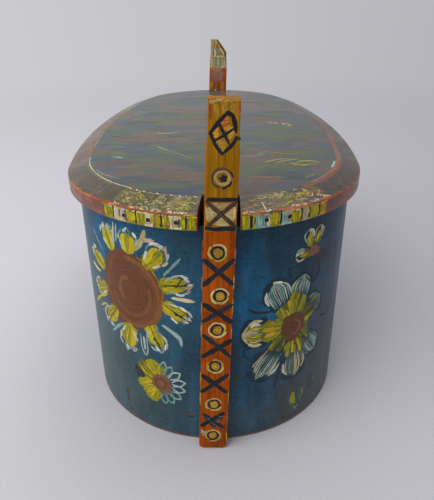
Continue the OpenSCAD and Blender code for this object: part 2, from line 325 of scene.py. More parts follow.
def blue_wall_paint():
    """Linseed oil paint brushed upright on bent pine: streaky, thin, a little shiny, greener,
    greyer and darker in patches, with the grey ones on the near left a painted reflection of the
    window, and rubbed to the wood along the foot."""
    material, add = start_material("blue_oil_paint_on_bent_pine")
    where = add("TexCoord", out="Object")
    fine = streaks(add, where, (1, 1, 0.10), 1.3, 5.0, 0.65)
    broad = streaks(add, where, (1, 1, 0.3), 11.0, 4.0)
    dash = streaks(add, where, (0.16, 0.16, 1), 1.5, 4.0, 0.65)
    speck = streaks(add, where, (1, 1, 0.7), 2.6, 4.0, 0.7)
    cloud = streaks(add, where, (1, 1, 0.6), 34.0, 4.0)
    blue = settings().wall_blue
    colour = add("ValToRGB", {"Fac": fine}, ramp=three_tones(blue, 0.55, 1.5))
    washed = add("ValToRGB", {"Fac": broad}, ramp=[
        (0.36, shade(blue, 0.55)), (0.66, shade(blue, 1.4))])
    colour = add("MixRGB", {"Fac": 0.5, "Color1": colour, "Color2": washed})
    # Each patch tints the blue; the grey ones on the near left are a painted reflection of the
    # window.
    for along, up, reach, tone, strength in WALL_PATCHES_AND_SHEEN:
        centre = tuple(on_wall(along, up)[0] * MM)
        away = add("VectorMath", {0: where, 1: centre}, out="Value", operation="DISTANCE")
        ragged = add("Math", {0: cloud, 1: PATCH_RAGGED * MM, 2: away}, operation="MULTIPLY_ADD")
        core, rim = (PATCH_RAGGED / 2 + reach * share for share in (0.25, 1.0))
        share = add("MapRange", {0: ragged, 1: core * MM, 2: rim * MM, 3: strength, 4: 0.0},
                    interpolation_type="SMOOTHSTEP")
        tinted = add("MixRGB", {"Fac": 0.25, "Color1": linear(tone), "Color2": colour})
        colour = add("MixRGB", {"Fac": share, "Color1": colour, "Color2": tinted})
    depth = add("MapRange", {0: broad, 1: 0.32, 2: 0.68, 3: 0.72, 4: 1.35})
    colour = add("MixRGB", {"Fac": 1.0, "Color1": colour, "Color2": depth}, blend_type="MULTIPLY")
    colour = cover_in_places(add, colour, [
        (dash, 0.54, 0.70, 0.5, "#2e6074"), (dash, 0.44, 0.30, 0.5, "#16303e"),
        (speck, 0.54, 0.70, 0.55, "#141f26"), (cloud, 0.58, 0.70, 0.5, "#47483a")])
    height = add("SeparateXYZ", {"Vector": where}, out=2)
    ragged = add("Math", {0: fine, 1: -4.5 * MM, 2: height}, operation="MULTIPLY_ADD")
    foot = add("MapRange", {0: ragged, 1: -1.6 * MM, 2: 0.0, 3: 1.0, 4: 0.0})
    colour = add("MixRGB", {"Fac": foot, "Color1": colour, "Color2": linear("#7c4f2a")})
    rough = add("MapRange", {0: broad, 1: 0.3, 2: 0.7, 3: 0.30, 4: 0.46})
    finish_surface(add, colour, rough, fine, 0.05, gloss=0.24)
    return material


def bare_pine(name, along, tones):
    """Planed or split pine: pale earlywood and thin brown latewood lines, dry and dull, with
    fine tool marks. The grain runs along the axis with the small scale."""
    material, add = start_material(name)
    where = add("TexCoord", out="Object")
    grain = streaks(add, where, along, 3.4, 5.0, 0.55)
    fibre = streaks(add, where, tuple(a * 0.6 for a in along), 0.7, 3.0)
    stain = streaks(add, where, (1, 1, 1), 38.0, 2.0)
    colour = add("ValToRGB", {"Fac": grain}, ramp=[
        (0.30, tones[0]), (0.48, tones[1]), (0.62, tones[2])])
    share = add("MapRange", {0: stain, 1: 0.3, 2: 0.7, 3: 0.1, 4: 0.5})
    colour = add("MixRGB", {"Fac": share, "Color1": colour, "Color2": linear(tones[3])})
    rough = add("MapRange", {0: fibre, 1: 0.3, 2: 0.7, 3: 0.58, 4: 0.74})
    finish_surface(add, colour, rough, fibre, 0.06)
    return material


def post_paint(name, upper, lower, light, patch, edge, change_height):
    """Thin oil glaze on a carved pine post, so that the upright grain shows through: one
    colour above a height and another below, redder and paler along the arrises, as worn paint
    and as a painted highlight on their rounding."""
    material, add = start_material(name)
    where = add("TexCoord", out="Object")
    grain = streaks(add, where, (1, 1, 0.02), 0.9, 5.0, 0.7)
    broad = streaks(add, where, (1, 1, 0.08), 5.0, 3.0)
    blot = streaks(add, where, (1, 1, 0.7), 11.0, 3.0)
    coats = []
    for base, pale, spot in zip((upper, lower), light, patch):
        coat = add("ValToRGB", {"Fac": grain}, ramp=[
            (0.28, shade(base, 0.40)), (0.48, shade(base, 1.0)), (0.70, pale)])
        coats.append(cover_in_places(add, coat, [(blot, 0.46, 0.68, 0.75, spot)]))
    height = add("SeparateXYZ", {"Vector": where}, out=2)
    ragged = add("Math", {0: broad, 1: 1.2 * MM, 2: height}, operation="MULTIPLY_ADD")
    share = add("MapRange", {0: ragged, 1: change_height * MM, 2: (change_height + 0.8) * MM})
    colour = add("MixRGB", {"Fac": share, "Color1": coats[1], "Color2": coats[0]})
    # The arrises take the edge colour: worn paint, and a painted highlight on their rounding.
    worn = add("Attribute", out="Fac", attribute_name="worn")
    thin = add("MapRange", {0: broad, 1: 0.34, 2: 0.56})
    rubbed = add("Math", {0: worn, 1: thin}, operation="MULTIPLY", use_clamp=True)
    colour = add("MixRGB", {"Fac": rubbed, "Color1": colour, "Color2": linear(edge)})
    rough = add("MapRange", {0: broad, 1: 0.3, 2: 0.7, 3: 0.42, 4: 0.58})
    finish_surface(add, colour, rough, grain, 0.09, gloss=0.08)
    return material


def lid_paint():
    """Old oil paint under varnish on a carved board, brushed across the box: a blue-grey panel
    with olive and mauve patches, a grey-brown border, a rust edge, rubbed arrises. The border,
    and less so the panel, is painted lighter towards the window at the left and darker away
    from it, as painted window light and reflection."""
    material, add = start_material("varnished_paint_on_carved_board")
    where = add("TexCoord", out="Object")
    height = add("SeparateXYZ", {"Vector": where}, out=2)
    brush = streaks(add, where, (0.10, 1, 1), 2.2, 4.0)
    long_patch = streaks(add, where, (0.42, 1, 1), 14.0, 3.0)
    other = streaks(add, where, (0.45, 1, 1.3), 19.0, 3.0, 0.5)
    third = streaks(add, where, (0.36, 0.8, 1.9), 15.0, 3.0, 0.5)
    small = streaks(add, where, (1, 1, 1), 4.0, 4.0)
    blue, brown, rust = settings().lid_panel, settings().lid_border, settings().lid_edge
    panel = add("ValToRGB", {"Fac": brush}, ramp=three_tones(blue, 0.55, 1.8))
    panel = cover_in_places(add, panel, [
        (long_patch, 0.46, 0.56, 0.8, "#525a32"), (other, 0.50, 0.58, 0.8, "#6a4e40"),
        (third, 0.54, 0.62, 0.6, "#2c4c5e"), (long_patch, 0.62, 0.70, 0.6, "#646a32")])
    border = add("ValToRGB", {"Fac": small}, ramp=three_tones(brown, 0.6, 1.6))
    border = cover_in_places(add, border, [
        (other, 0.46, 0.58, 0.6, "#545434"), (third, 0.50, 0.62, 0.4, "#4c4e50"),
        (long_patch, 0.56, 0.68, 0.6, "#7a4c30"), (third, 0.66, 0.72, 0.8, "#8a7a2c")])
    # Painted light: lighter towards the window at the left, darker away from it.
    towards_window = add("VectorMath", {0: where, 1: (-0.7, 0.5, 0.0)}, out="Value",
                    operation="DOT_PRODUCT")
    painted_window_light = add("MapRange", {0: towards_window, 1: -0.09, 2: 0.083, 3: 0.38, 4: 1.1})
    border = add("MixRGB", {"Fac": 1.0, "Color1": border, "Color2": painted_window_light},
                 blend_type="MULTIPLY")
    panel = add("MixRGB", {"Fac": 0.45, "Color1": panel, "Color2": painted_window_light},
                blend_type="MULTIPLY")
    edge = add("ValToRGB", {"Fac": small}, ramp=three_tones(rust, 0.6, 1.7))
    edge = cover_in_places(add, edge, [(other, 0.48, 0.60, 0.7, "#5a3c36")])
    ragged = add("Math", {0: small, 1: 0.9 * MM, 2: height}, operation="MULTIPLY_ADD")
    share = add("MapRange", {0: ragged, 1: (LID_RIM + 0.25) * MM, 2: (LID_RIM + 0.45) * MM})
    colour = add("MixRGB", {"Fac": share, "Color1": edge, "Color2": border})
    share = add("MapRange", {0: ragged, 1: (LID_TOP + 0.25) * MM, 2: (LID_TOP + 0.4) * MM})
    colour = add("MixRGB", {"Fac": share, "Color1": colour, "Color2": panel})
    off_rim = add("Math", {0: height, 1: (LID_RIM - 0.2) * MM}, operation="SUBTRACT")
    off_rim = add("Math", {0: off_rim}, operation="ABSOLUTE")
    on_rim = add("MapRange", {0: off_rim, 1: 0.2 * MM, 2: 0.8 * MM, 3: 1.0, 4: 0.0})
    thin = add("MapRange", {0: small, 1: 0.42, 2: 0.54})
    worn = add("Math", {0: on_rim, 1: thin}, operation="MULTIPLY", use_clamp=True)
    rub = add("ValToRGB", {"Fac": long_patch}, ramp=[
        (0.35, "#9a4c1e"), (0.55, "#804a34"), (0.75, "#a0764c")])
    colour = add("MixRGB", {"Fac": worn, "Color1": colour, "Color2": rub})
    rough = add("MapRange", {0: long_patch, 1: 0.3, 2: 0.7, 3: 0.26, 4: 0.38})
    finish_surface(add, colour, rough, brush, 0.05, gloss=0.5)
    return material


def folk_paint(name, tones):
    """Thick folk-art oil paint in single strokes: the bristles leave fine ridges along the
    stroke, and each stroke carries a little more or less of the second colour."""
    material, add = start_material(name)
    brush = add("Attribute", out="Vector", attribute_name="brush")
    along = add("SeparateXYZ", {"Vector": brush}, out=0)
    aside = add("SeparateXYZ", {"Vector": brush}, out=1)
    own = add("SeparateXYZ", {"Vector": brush}, out=2)
    drawn = add("Math", {0: along, 1: 0.16}, operation="MULTIPLY")
    far = add("Math", {0: own, 1: 60.0}, operation="MULTIPLY")
    flow = add("CombineXYZ", {0: drawn, 1: aside, 2: far})
    ridge = add("TexNoise", {"Vector": flow, "Scale": 1.7, "Detail": 4.0, "Roughness": 0.65})
    tint = add("Math", {0: own, 1: 0.26, 2: -0.13}, operation="MULTIPLY_ADD")
    shifted = add("Math", {0: ridge, 1: tint}, operation="ADD")
    colour = add("ValToRGB", {"Fac": shifted}, ramp=[
        (0.30, tones[0]), (0.47, tones[1]), (0.66, tones[2])])
    finish_surface(add, colour, 0.45, ridge, 0.14, gloss=0.24)
    return material


def split_root():
    """Birch or spruce root, split and skinned: smooth, tan, with fibres along its length, and
    the wall's blue brushed over it in places."""
    material, add = start_material("split_birch_root")
    where = add("TexCoord", out="Object")
    fibre = streaks(add, where, (1, 1, 0.12), 0.6, 3.0)
    stain = streaks(add, where, (1, 1, 1), 9.0, 2.0)
    colour = add("ValToRGB", {"Fac": fibre}, ramp=[
        (0.3, "#5f3c20"), (0.5, "#8d6337"), (0.7, "#ab8450")])
    colour = cover_in_places(add, colour, [(stain, 0.5, 0.7, 0.6, "#24495c")])
    finish_surface(add, colour, 0.5, fibre, 0.08)
    return material


# Dark, middle and light tone of each brushed colour
PALETTE = {
    "yellow": ("#7a6c00", "#ac9c06", "#ccb81c"),
    "leaf": ("#464a08", "#7a7808", "#a29e14"),
    "olive": ("#33350f", "#565616", "#777426"),
    "orange": ("#8c4c18", "#bf7a12", "#dba02a"),
    "ochre": ("#7a5410", "#a87c20", "#c49a3c"),
    "white": ("#7f8c82", "#b9bfae", "#e2dfd0"),
    "mint": ("#486f70", "#7d9f96", "#a9c0b0"),
    "cream": ("#8c7c4c", "#b8aa76", "#d8cca0"),
    "blush": ("#8a6f62", "#b39a88", "#d2bfae"),
    "deep": ("#182c34", "#264044", "#3e5854"),
    "slate": ("#3a4a48", "#5e6c62", "#87937f"),
    "dark": ("#0a0e13", "#12171f", "#252c34"),
    "navy": ("#0c2230", "#122c3c", "#1a3a4e"),
    "violet": ("#2a2630", "#3a3440", "#4c4450"),
    "heart": ("#58331e", "#683c21", "#764625"),
    "heart_rim": ("#623a1f", "#744826", "#84552c"),
    "mauve": ("#624036", "#78503e", "#8c604c"),
    "rust": ("#6c3014", "#93481c", "#b26326"),
    "ember": ("#7c2c08", "#b04c14", "#d8824c"),
    "chip": ("#40220f", "#5e3216", "#764824"),
    "crimson": ("#6a1f1f", "#8d3030", "#a85048"),
    "grey": ("#4b5450", "#6f7b74", "#93a096"),
    "umber": ("#241a12", "#3c2c1e", "#56442e"),
    "dull_olive": ("#454026", "#5e5836", "#787048"),
    "dull_white": ("#566052", "#7c8066", "#9c9c7e"),
    "dull_red": ("#50423c", "#6a5248", "#806558"),
    "haze": ("#4a544e", "#626a60", "#7c8070"),
    "dull_yellow": ("#665c22", "#857a34", "#a4984e"),
    "buff": ("#8a7038", "#a88c50", "#c0a86e"),
    "dull_green": ("#444e34", "#5c6844", "#76825a"),
}


def palette():
    """The brushed colours by name. They are made once and shared by all the brushwork."""
    made = {}
    for name, tones in PALETTE.items():
        label = name + "_folk_paint"
        made[name] = bpy.data.materials.get(label) or folk_paint(label, tones)
    return made


# ---- brushwork ----


def through(points, t):
    """A place and the direction there on the smooth path through points, at t from 0 to 1."""
    last = len(points) - 1
    at = min(max(t, 0.0) * last, last - 1e-6)
    i = int(at)
    f = at - i
    a, b, c, d = (Vector(points[max(0, min(last, i + k))]) for k in (-1, 0, 1, 2))
    if i == 0:
        a = 2 * b - c
    if i >= last - 1:
        d = 2 * c - b
    bend, twist = 2 * a - 5 * b + 4 * c - d, 3 * b - a - 3 * c + d
    place = 0.5 * (2 * b + (c - a) * f + bend * f * f + twist * f ** 3)
    way = 0.5 * ((c - a) + 2 * bend * f + 3 * twist * f * f)
    return place, way.normalized() if way.length > 1e-9 else Vector((1, 0))


def blank_pad(cells):
    """A thin closed pad in -1..1 with that many cells, kept for the strokes that need it."""
    name = f"blank_pad_{cells[0]}_{cells[1]}"
    if name not in bpy.data.meshes:
        bm = bmesh.new()
        bm.verts.layers.float_vector.new("brush")
        bmesh.ops.create_grid(bm, x_segments=cells[0], y_segments=cells[1], size=1)
        raised = bmesh.ops.extrude_face_region(bm, geom=list(bm.faces), use_keep_orig=True)
        bmesh.ops.translate(bm, verts=verts_of(raised["geom"]), vec=(0, 0, 1))
        bmesh.ops.recalc_face_normals(bm, faces=bm.faces)
        bm.to_mesh(bpy.data.meshes.new(name))
        bm.free()
    return bpy.data.meshes[name]


class Brushwork:
    """One mesh of thin closed pads of dried paint, laid stroke by stroke on a surface."""

    BED = 0.08  # how deep a pad goes into what it lies on, in millimetres
    STEP = 2.0  # length of a stroke's cells, in millimetres

    def __init__(self, surface, seed):
        self.bm = bmesh.new()
        self.bm.verts.layers.float_vector.new("brush")
        self.surface = surface
        self.chance = random.Random(seed)
        self.used = []

    def lay(self, colour, cells, place):
        """place turns -1..1, -1..1 into across, up, along the brush, across it, thickness."""
        if colour not in self.used:
            self.used.append(colour)
        verts, faces = len(self.bm.verts), len(self.bm.faces)
        self.bm.from_mesh(blank_pad(cells))
        self.bm.verts.ensure_lookup_table()
        self.bm.faces.ensure_lookup_table()
        brush = self.bm.verts.layers.float_vector["brush"]
        seed, thickness = self.chance.random(), settings().stroke_thickness
        for v in self.bm.verts[verts:]:
            across, up, along, aside, thick = place(v.co.x, v.co.y)
            point, normal = self.surface(across, up)
            thick = thick * thickness if v.co.z > 0.5 else -self.BED
            v.co = (point + normal * thick) * MM
            v[brush] = (along, aside, seed)
        for f in self.bm.faces[faces:]:
            f.material_index = self.used.index(colour)

    def line(self, colour, points, width, coat=0.14, ends=(0.25, 0.25), finest=0.18, ridges=2):
        """One brush stroke through points. Ends are the shares over which it narrows."""
        length = sum((Vector(points[i + 1]) - Vector(points[i])).length
                     for i in range(len(points) - 1))
        steps = max(4, min(22, round(length / self.STEP)), 3 * (len(points) - 1))
        wave, phase = self.chance.uniform(2, 5), self.chance.uniform(0, 6.3)
        lift = self.chance.uniform(0.0, 0.05)

        def place(u, w):
            t = (u + 1) / 2
            centre, way = through(points, t)
            narrow = min(1.0, (t + 0.02) / max(ends[0], 0.03), (1.02 - t) / max(ends[1], 0.03))
            swell = max(finest, math.sqrt(max(narrow * (2 - narrow), 0.0)))
            reach = width / 2 * swell * w * (1 + 0.12 * math.sin(wave * t * 3 + phase))
            spot = centre + Vector((-way.y, way.x)) * reach
            thick = (coat + lift) * (1 - 0.75 * w * w) * (0.4 + 0.6 * swell)
            return spot.x, spot.y, t * length, reach, thick

        self.lay(colour, (steps, ridges), place)

    def disc(self, colour, centre, size, coat=0.1, cells=9, wobble=0.05, swirl=True):
        """A filled round patch, brushed round and round or straight."""
        phase = self.chance.uniform(0, 6.3)

        def place(u, w):
            x, y = u * math.sqrt(1 - w * w / 2), w * math.sqrt(1 - u * u / 2)
            round_by = math.atan2(y, x)
            far = math.hypot(x, y)
            edge = 1 + wobble * math.sin(3 * round_by + phase) + wobble / 2 * math.sin(
                7 * round_by + 2 * phase)
            across, up = x * size[0] * edge, y * size[1] * edge
            thick = coat * (0.35 + 0.65 * (1 - far ** 4))
            flow = (abs(round_by) * 6.0, far * min(size)) if swirl else (across, up)
            return centre[0] + across, centre[1] + up, *flow, thick

        self.lay(colour, (cells, cells), place)

    def ring(self, colour, centre, radius, width, coat=0.14, share=1.0, start=None, squash=1.0,
             shake=0.05):
        """A stroke round a centre. With a share under 1 it stays open."""
        begin = self.chance.uniform(0, 6.3) if start is None else start
        count = max(5, round(9 * share))
        sweep = 2 * math.pi * share * (1.02 if share == 1.0 else 1.0)
        points = []
        for i in range(count + 1):
            angle = begin + sweep * i / count
            reach = radius * (1 + self.chance.uniform(-shake, shake))
            points.append((centre[0] + reach * math.cos(angle),
                           centre[1] + reach * squash * math.sin(angle)))
        self.line(colour, points, width, coat, ends=(0.06, 0.08), finest=0.5)

    def finish(self, name, body):
        paints = palette()
        return keep(self.bm, name, body, paints=[paints[c] for c in self.used])


# Where along a petal it is widest, and the width of its root as a share of that
PETAL_WIDEST, PETAL_ROOT = 0.58, 0.38


def petal_outline(t):
    """Half the width of a petal, as a share of its widest, from its root to its tip."""
    if t > PETAL_WIDEST:
        return math.sqrt(max(0.0, 1 - ((t - PETAL_WIDEST) / (1 - PETAL_WIDEST)) ** 2))
    share = t / PETAL_WIDEST
    return PETAL_ROOT + (1 - PETAL_ROOT) * share * share * (3 - 2 * share)


class Petal:
    """Turns a share along and a share across a petal into a place on the surface."""

    def __init__(self, base, tip, half_width):
        self.base, self.axis = Vector(base), Vector(tip) - Vector(base)
        self.side = Vector((-self.axis.y, self.axis.x)).normalized() * half_width

    def at(self, t, c):
        return tuple(self.base + self.axis * t + self.side * c * petal_outline(t))


def sun_petal(work, base, tip, half_width, dark, tip_tone):
    """A short petal: a fat yellow-green dab with an olive middle, broken pale strokes round it
    and a dark touch on some."""
    petal, pick = Petal(base, tip, half_width), work.chance
    wide = half_width * 2
    work.line("leaf", [petal.at(-0.10, 0.0), petal.at(0.36, 0.0), petal.at(0.80, 0.0)],
              wide * 0.80, 0.10, (0.3, 0.4), 0.3, 4)
    for c in (-0.48, 0.50):
        work.line("yellow", [petal.at(-0.04, c), petal.at(0.36, c),
                             petal.at(pick.uniform(0.66, 0.8), c * 0.8)],
                  wide * 0.36, 0.15, (0.25, 0.4), 0.3)
    work.line(pick.choice(("olive", "leaf")), [petal.at(0.02, 0.05), petal.at(0.66, 0.0)],
              wide * 0.16, 0.17, (0.3, 0.5))
    for c in (-0.2, 0.25):
        work.line("yellow", [petal.at(0.1, c), petal.at(pick.uniform(0.5, 0.7), c)],
                  wide * 0.14, 0.18, (0.3, 0.5))
    for side in (1, -1):
        for low, high in ((0.12, 0.42), (0.40, 0.70), (0.66, 0.92)):
            if pick.random() < 0.2:
                continue
            low += pick.uniform(-0.04, 0.06)
            points = [petal.at(low + (high - low) * k / 2, side * pick.uniform(0.90, 1.06))
                      for k in range(3)]
            work.line(pick.choice(("white", "mint", "white", tip_tone)), points,
                      wide * pick.uniform(0.09, 0.14), 0.2, (0.35, 0.3), 0.3)
    for c in (-0.72, -0.42, -0.1, 0.2, 0.5, 0.78):
        if pick.random() < 0.12:
            continue
        low = pick.uniform(0.66, 0.84)
        work.line(pick.choice(("white", "white", tip_tone, "grey")),
                  [petal.at(low, c * 1.1), petal.at(low + pick.uniform(0.16, 0.26), c * 0.95)],
                  wide * pick.uniform(0.07, 0.12), 0.22, (0.35, 0.4), 0.3)
    if dark:
        for k in (0.0, 0.3):
            work.line("dark", [petal.at(0.12 + k, 0.15 - k / 2), petal.at(0.5, -0.05 - k / 2),
                               petal.at(1.02 - k, dark)],
                      wide * 0.11, 0.24, (0.3, 0.5))


def daisy_petal(work, base, tip, half_width, inner, outer, ground, reach):
    """A long petal: a dark shade round it, a deep ground, a yellow-green root and pale stripes
    that nearly meet at the tip."""
    petal, pick = Petal(base, tip, half_width), work.chance
    wide = half_width * 2
    work.line("navy", [petal.at(0.2, 0.0), petal.at(0.6, 0.0), petal.at(1.06, 0.0)],
              wide * 1.12, 0.05, (0.4, 0.28), 0.3, 6)
    work.line(ground, [petal.at(0.16, 0.0), petal.at(0.6, 0.0), petal.at(0.99, 0.0)],
              wide * 0.96, 0.08, (0.4, 0.30), 0.3, 6)
    for i in range(10):
        c = -0.92 + 1.84 * i / 9 + pick.uniform(-0.04, 0.04)
        tip_at = 1.0 - 0.26 * c * c + pick.uniform(-0.05, 0.03)
        work.line(pick.choice(outer),
                  [petal.at(reach * pick.uniform(0.9, 1.3), c * 0.86), petal.at(0.72, c * 0.92),
                   petal.at(tip_at, c * 0.84)],
                  wide * pick.uniform(0.05, 0.1), 0.16, (0.4, 0.2), 0.3)
    rim = [petal.at(t, c) for t, c in (
        (0.5, 0.95), (0.7, 1.0), (0.86, 0.9), (0.96, 0.5), (1.0, 0.0), (0.96, -0.5),
        (0.86, -0.9), (0.7, -1.0), (0.5, -0.95))]
    for first in (0, 2, 4, 6):
        if pick.random() < 0.75:
            work.line(outer[0], rim[first : first + 3], wide * pick.uniform(0.06, 0.11), 0.18,
                      (0.3, 0.3))
    for i in range(6):
        c = -0.8 + 1.6 * i / 5
        work.line(inner[i % len(inner)],
                  [petal.at(-0.04, c * 0.9), petal.at(reach * 0.5, c * 1.1),
                   petal.at(reach * pick.uniform(0.8, 1.2), c * 0.95)],
                  wide * pick.uniform(0.18, 0.28), 0.2, (0.15, 0.35), 0.3)
    for c in (-0.5, 0.1, 0.6):
        work.line("deep", [petal.at(0.1, c), petal.at(reach, c * 0.9)], wide * 0.05, 0.22,
                  (0.4, 0.4))


# A sunflower's petals, from the middle of the flower: root, tip, half width, the side to
# which its dark touch leans and the tone of its tip
SUN_PETALS = [
    ((-11.5, 23.5), (-17.5, 37.5), 5.8, 0.0, "mint"), ((1.5, 25.0), (2.0, 38.5), 6.6, 0.0, "mint"),
    ((12.5, 19.0), (25.0, 32.5), 6.4, 0.0, "blush"),
    ((21.5, 9.0), (38.5, 12.0), 6.0, 0.7, "blush"),
    ((22.0, -2.5), (37.5, -12.5), 5.4, 0.4, "white"),
    ((12.0, -19.0), (19.5, -36.0), 6.2, 0.2, "mint"),
    ((-2.5, -24.5), (-6.5, -43.0), 7.4, 0.0, "blush"),
    ((-13.5, -17.0), (-25.0, -31.0), 6.2, 0.0, "cream"),
    ((-21.5, -6.0), (-36.5, -10.5), 5.2, 0.0, "cream"),
    ((-21.5, 8.5), (-36.0, 15.0), 5.6, 0.0, "cream"),
]
SUN_HEART = (22.4, 25.2)  # half the width and half the height of its heart
# The sprigs between its petals: colour, places from the middle, width
SUN_SPRIGS = [
    ("white", [(-9.4, 27.5), (-8.6, 34.0), (-8.0, 40.0)], 1.3),
    ("cream", [(-7.0, 28.5), (-6.4, 34.0), (-5.8, 39.5)], 1.1),
    ("cream", [(6.6, 27.0), (9.5, 31.0), (12.0, 35.5), (13.6, 40.5)], 2.9),
    ("blush", [(9.0, 33.5), (13.0, 34.5), (19.0, 35.0)], 2.4),
    ("mint", [(23.0, 15.5), (28.0, 21.0), (33.0, 27.0)], 1.5),
    ("cream", [(27.0, 2.4), (33.0, 2.0), (40.0, 1.4)], 2.2),
    ("mint", [(20.5, -16.5), (26.0, -20.0), (30.5, -24.0), (31.5, -29.0)], 2.5),
    ("mint", [(5.2, -27.0), (5.6, -36.0), (8.0, -41.5), (9.6, -37.0), (9.4, -28.0)], 1.1),
    ("white", [(7.4, -28.0), (7.8, -37.5)], 1.6),
    ("mint", [(-9.0, -25.5), (-14.0, -30.0), (-20.0, -36.0)], 1.8),
    ("cream", [(-18.5, -20.0), (-25.0, -19.0), (-33.0, -24.0)], 1.5),
    ("yellow", [(-22.0, -11.0), (-32.0, -17.0), (-41.0, -25.0)], 1.8),
    ("cream", [(-27.0, 2.5), (-33.0, 3.0), (-38.0, 4.5)], 2.0),
    ("mint", [(-21.0, 18.5), (-26.0, 24.0), (-30.0, 29.0)], 1.4),
]
# A daisy's petals: root, tip, half width, tones of its root, tones of its stripes, its ground
# and how far up it the root reaches
DAISY_PETALS = [
    ((-5.0, 10.5), (-15.0, 33.5), 8.0, ("yellow", "leaf", "olive", "leaf"),
     ("white", "mint", "mint"), "deep", 0.30),
    ((1.5, 11.0), (6.5, 33.0), 7.6, ("leaf", "yellow", "olive", "yellow"),
     ("mint", "slate", "cream"), "deep", 0.46),
    ((8.0, 5.5), (22.0, 13.0), 7.2, ("leaf", "olive", "umber"), ("slate", "leaf", "grey"),
     "deep", 0.44),
    ((7.0, -5.5), (21.0, -26.0), 7.2, ("leaf", "olive", "deep"), ("grey", "slate", "mint"),
     "deep", 0.36),
    ((1.0, -10.0), (4.0, -37.5), 8.4, ("leaf", "olive", "yellow"), ("cream", "slate", "grey"),
     "deep", 0.34),
    ((-6.0, -5.5), (-23.5, -30.0), 8.8, ("leaf", "olive", "deep"), ("white", "mint", "cream"),
     "deep", 0.32),
    ((-9.0, 2.5), (-32.0, 2.5), 8.6, ("yellow", "leaf", "yellow", "orange"),
     ("cream", "yellow", "cream", "white"), "olive", 0.46),
]
# The dark tendrils round it, as places from the middle
DAISY_TENDRILS = [
    [(-29.0, 19.5), (-24.0, 16.4), (-15.0, 15.4)],
    [(-5.5, 41.0), (-4.0, 35.0), (-5.0, 27.0)],
    [(-11.0, -41.0), (-9.0, -32.0), (-7.0, -24.0)],
    [(14.0, 24.0), (19.0, 31.0), (18.0, 40.0)],
    [(24.0, -2.0), (31.0, -5.0), (38.0, -3.0)],
    [(-29.5, -5.0), (-31.0, -10.0), (-27.0, -16.0)],
]


def set_at(centre, scale, flip, turn=0.0):
    """Moves a flower's own coordinates to its place on the wall."""
    c, s = math.cos(turn) * scale, math.sin(turn) * scale

    def move(p):
        x = p[0] * flip
        return centre[0] + c * x - s * p[1], centre[1] + s * x + c * p[1]

    return move


def sunflower(work, centre, scale=1.0, flip=1, turn=0.0):
    """A big brown heart with ten short petals and thin sprigs between them."""
    move = set_at(centre, scale, flip, turn)
    for base, tip, half_width, dark, tone in SUN_PETALS:
        sun_petal(work, move(base), move(tip), half_width * scale, dark, tone)
    for colour, points, width in SUN_SPRIGS:
        work.line(colour, [move(p) for p in points], width * scale, 0.16, (0.35, 0.35))
    work.disc("heart", centre, (SUN_HEART[0] * scale, SUN_HEART[1] * scale), 0.12, 12,
              wobble=0.03)
    for reach, width, colour, share in (
        (0.90, 3.6, "heart_rim", 0.6), (0.80, 4.0, "heart", 0.8), (0.62, 4.4, "heart_rim", 0.5),
        (0.52, 4.0, "heart", 0.9), (0.34, 4.0, "heart_rim", 0.4), (0.20, 4.4, "heart", 1.0),
    ):
        work.ring(colour, centre, SUN_HEART[0] * reach * scale, width * scale, 0.17, share,
                  squash=1.12)
    rim = [move((22.2 * math.cos(a), 25.0 * math.sin(a))) for a in (1.25, 0.9, 0.5, 0.1, -0.5)]
    work.line("ochre", rim, 1.2 * scale, 0.2, (0.4, 0.4))


def daisy(work, centre, scale=1.0, flip=1, turn=0.0):
    """A small brown heart with seven long striped petals and dark tendrils."""
    move = set_at(centre, scale, flip, turn)
    for points in DAISY_TENDRILS:
        work.line("navy", [move(p) for p in points], 1.7 * scale, 0.1, (0.4, 0.4))
    work.disc("olive", centre, (13.0 * scale, 14.0 * scale), 0.08, 8, wobble=0.1)
    for base, tip, half_width, *tones in DAISY_PETALS:
        daisy_petal(work, move(base), move(tip), half_width * scale, *tones)
    for colour, spot, size in (("olive", (-9.0, -9.0), 4.6), ("leaf", (-3.0, -12.5), 4.0),
                               ("olive", (9.5, -7.0), 4.0), ("leaf", (-10.5, 6.0), 3.6)):
        work.disc(colour, move(spot), (size * scale, size * 0.9 * scale), 0.22, 5, wobble=0.2)
    for i in range(12):
        a = i / 12 * 2 * math.pi + work.chance.uniform(-0.2, 0.2)
        near, far = 9.0, work.chance.uniform(12.5, 16.0)
        work.line(("yellow", "leaf", "olive", "leaf")[i % 4],
                  [move((near * math.cos(a), near * 1.1 * math.sin(a))),
                   move((far * math.cos(a + 0.1), far * 1.1 * math.sin(a + 0.1)))],
                  3.0 * scale, 0.24, (0.3, 0.4))
    work.disc("heart", centre, (9.4 * scale, 10.8 * scale), 0.26, 8, wobble=0.09)
    work.ring("mauve", centre, 5.0 * scale, 3.6 * scale, 0.32, 0.5)


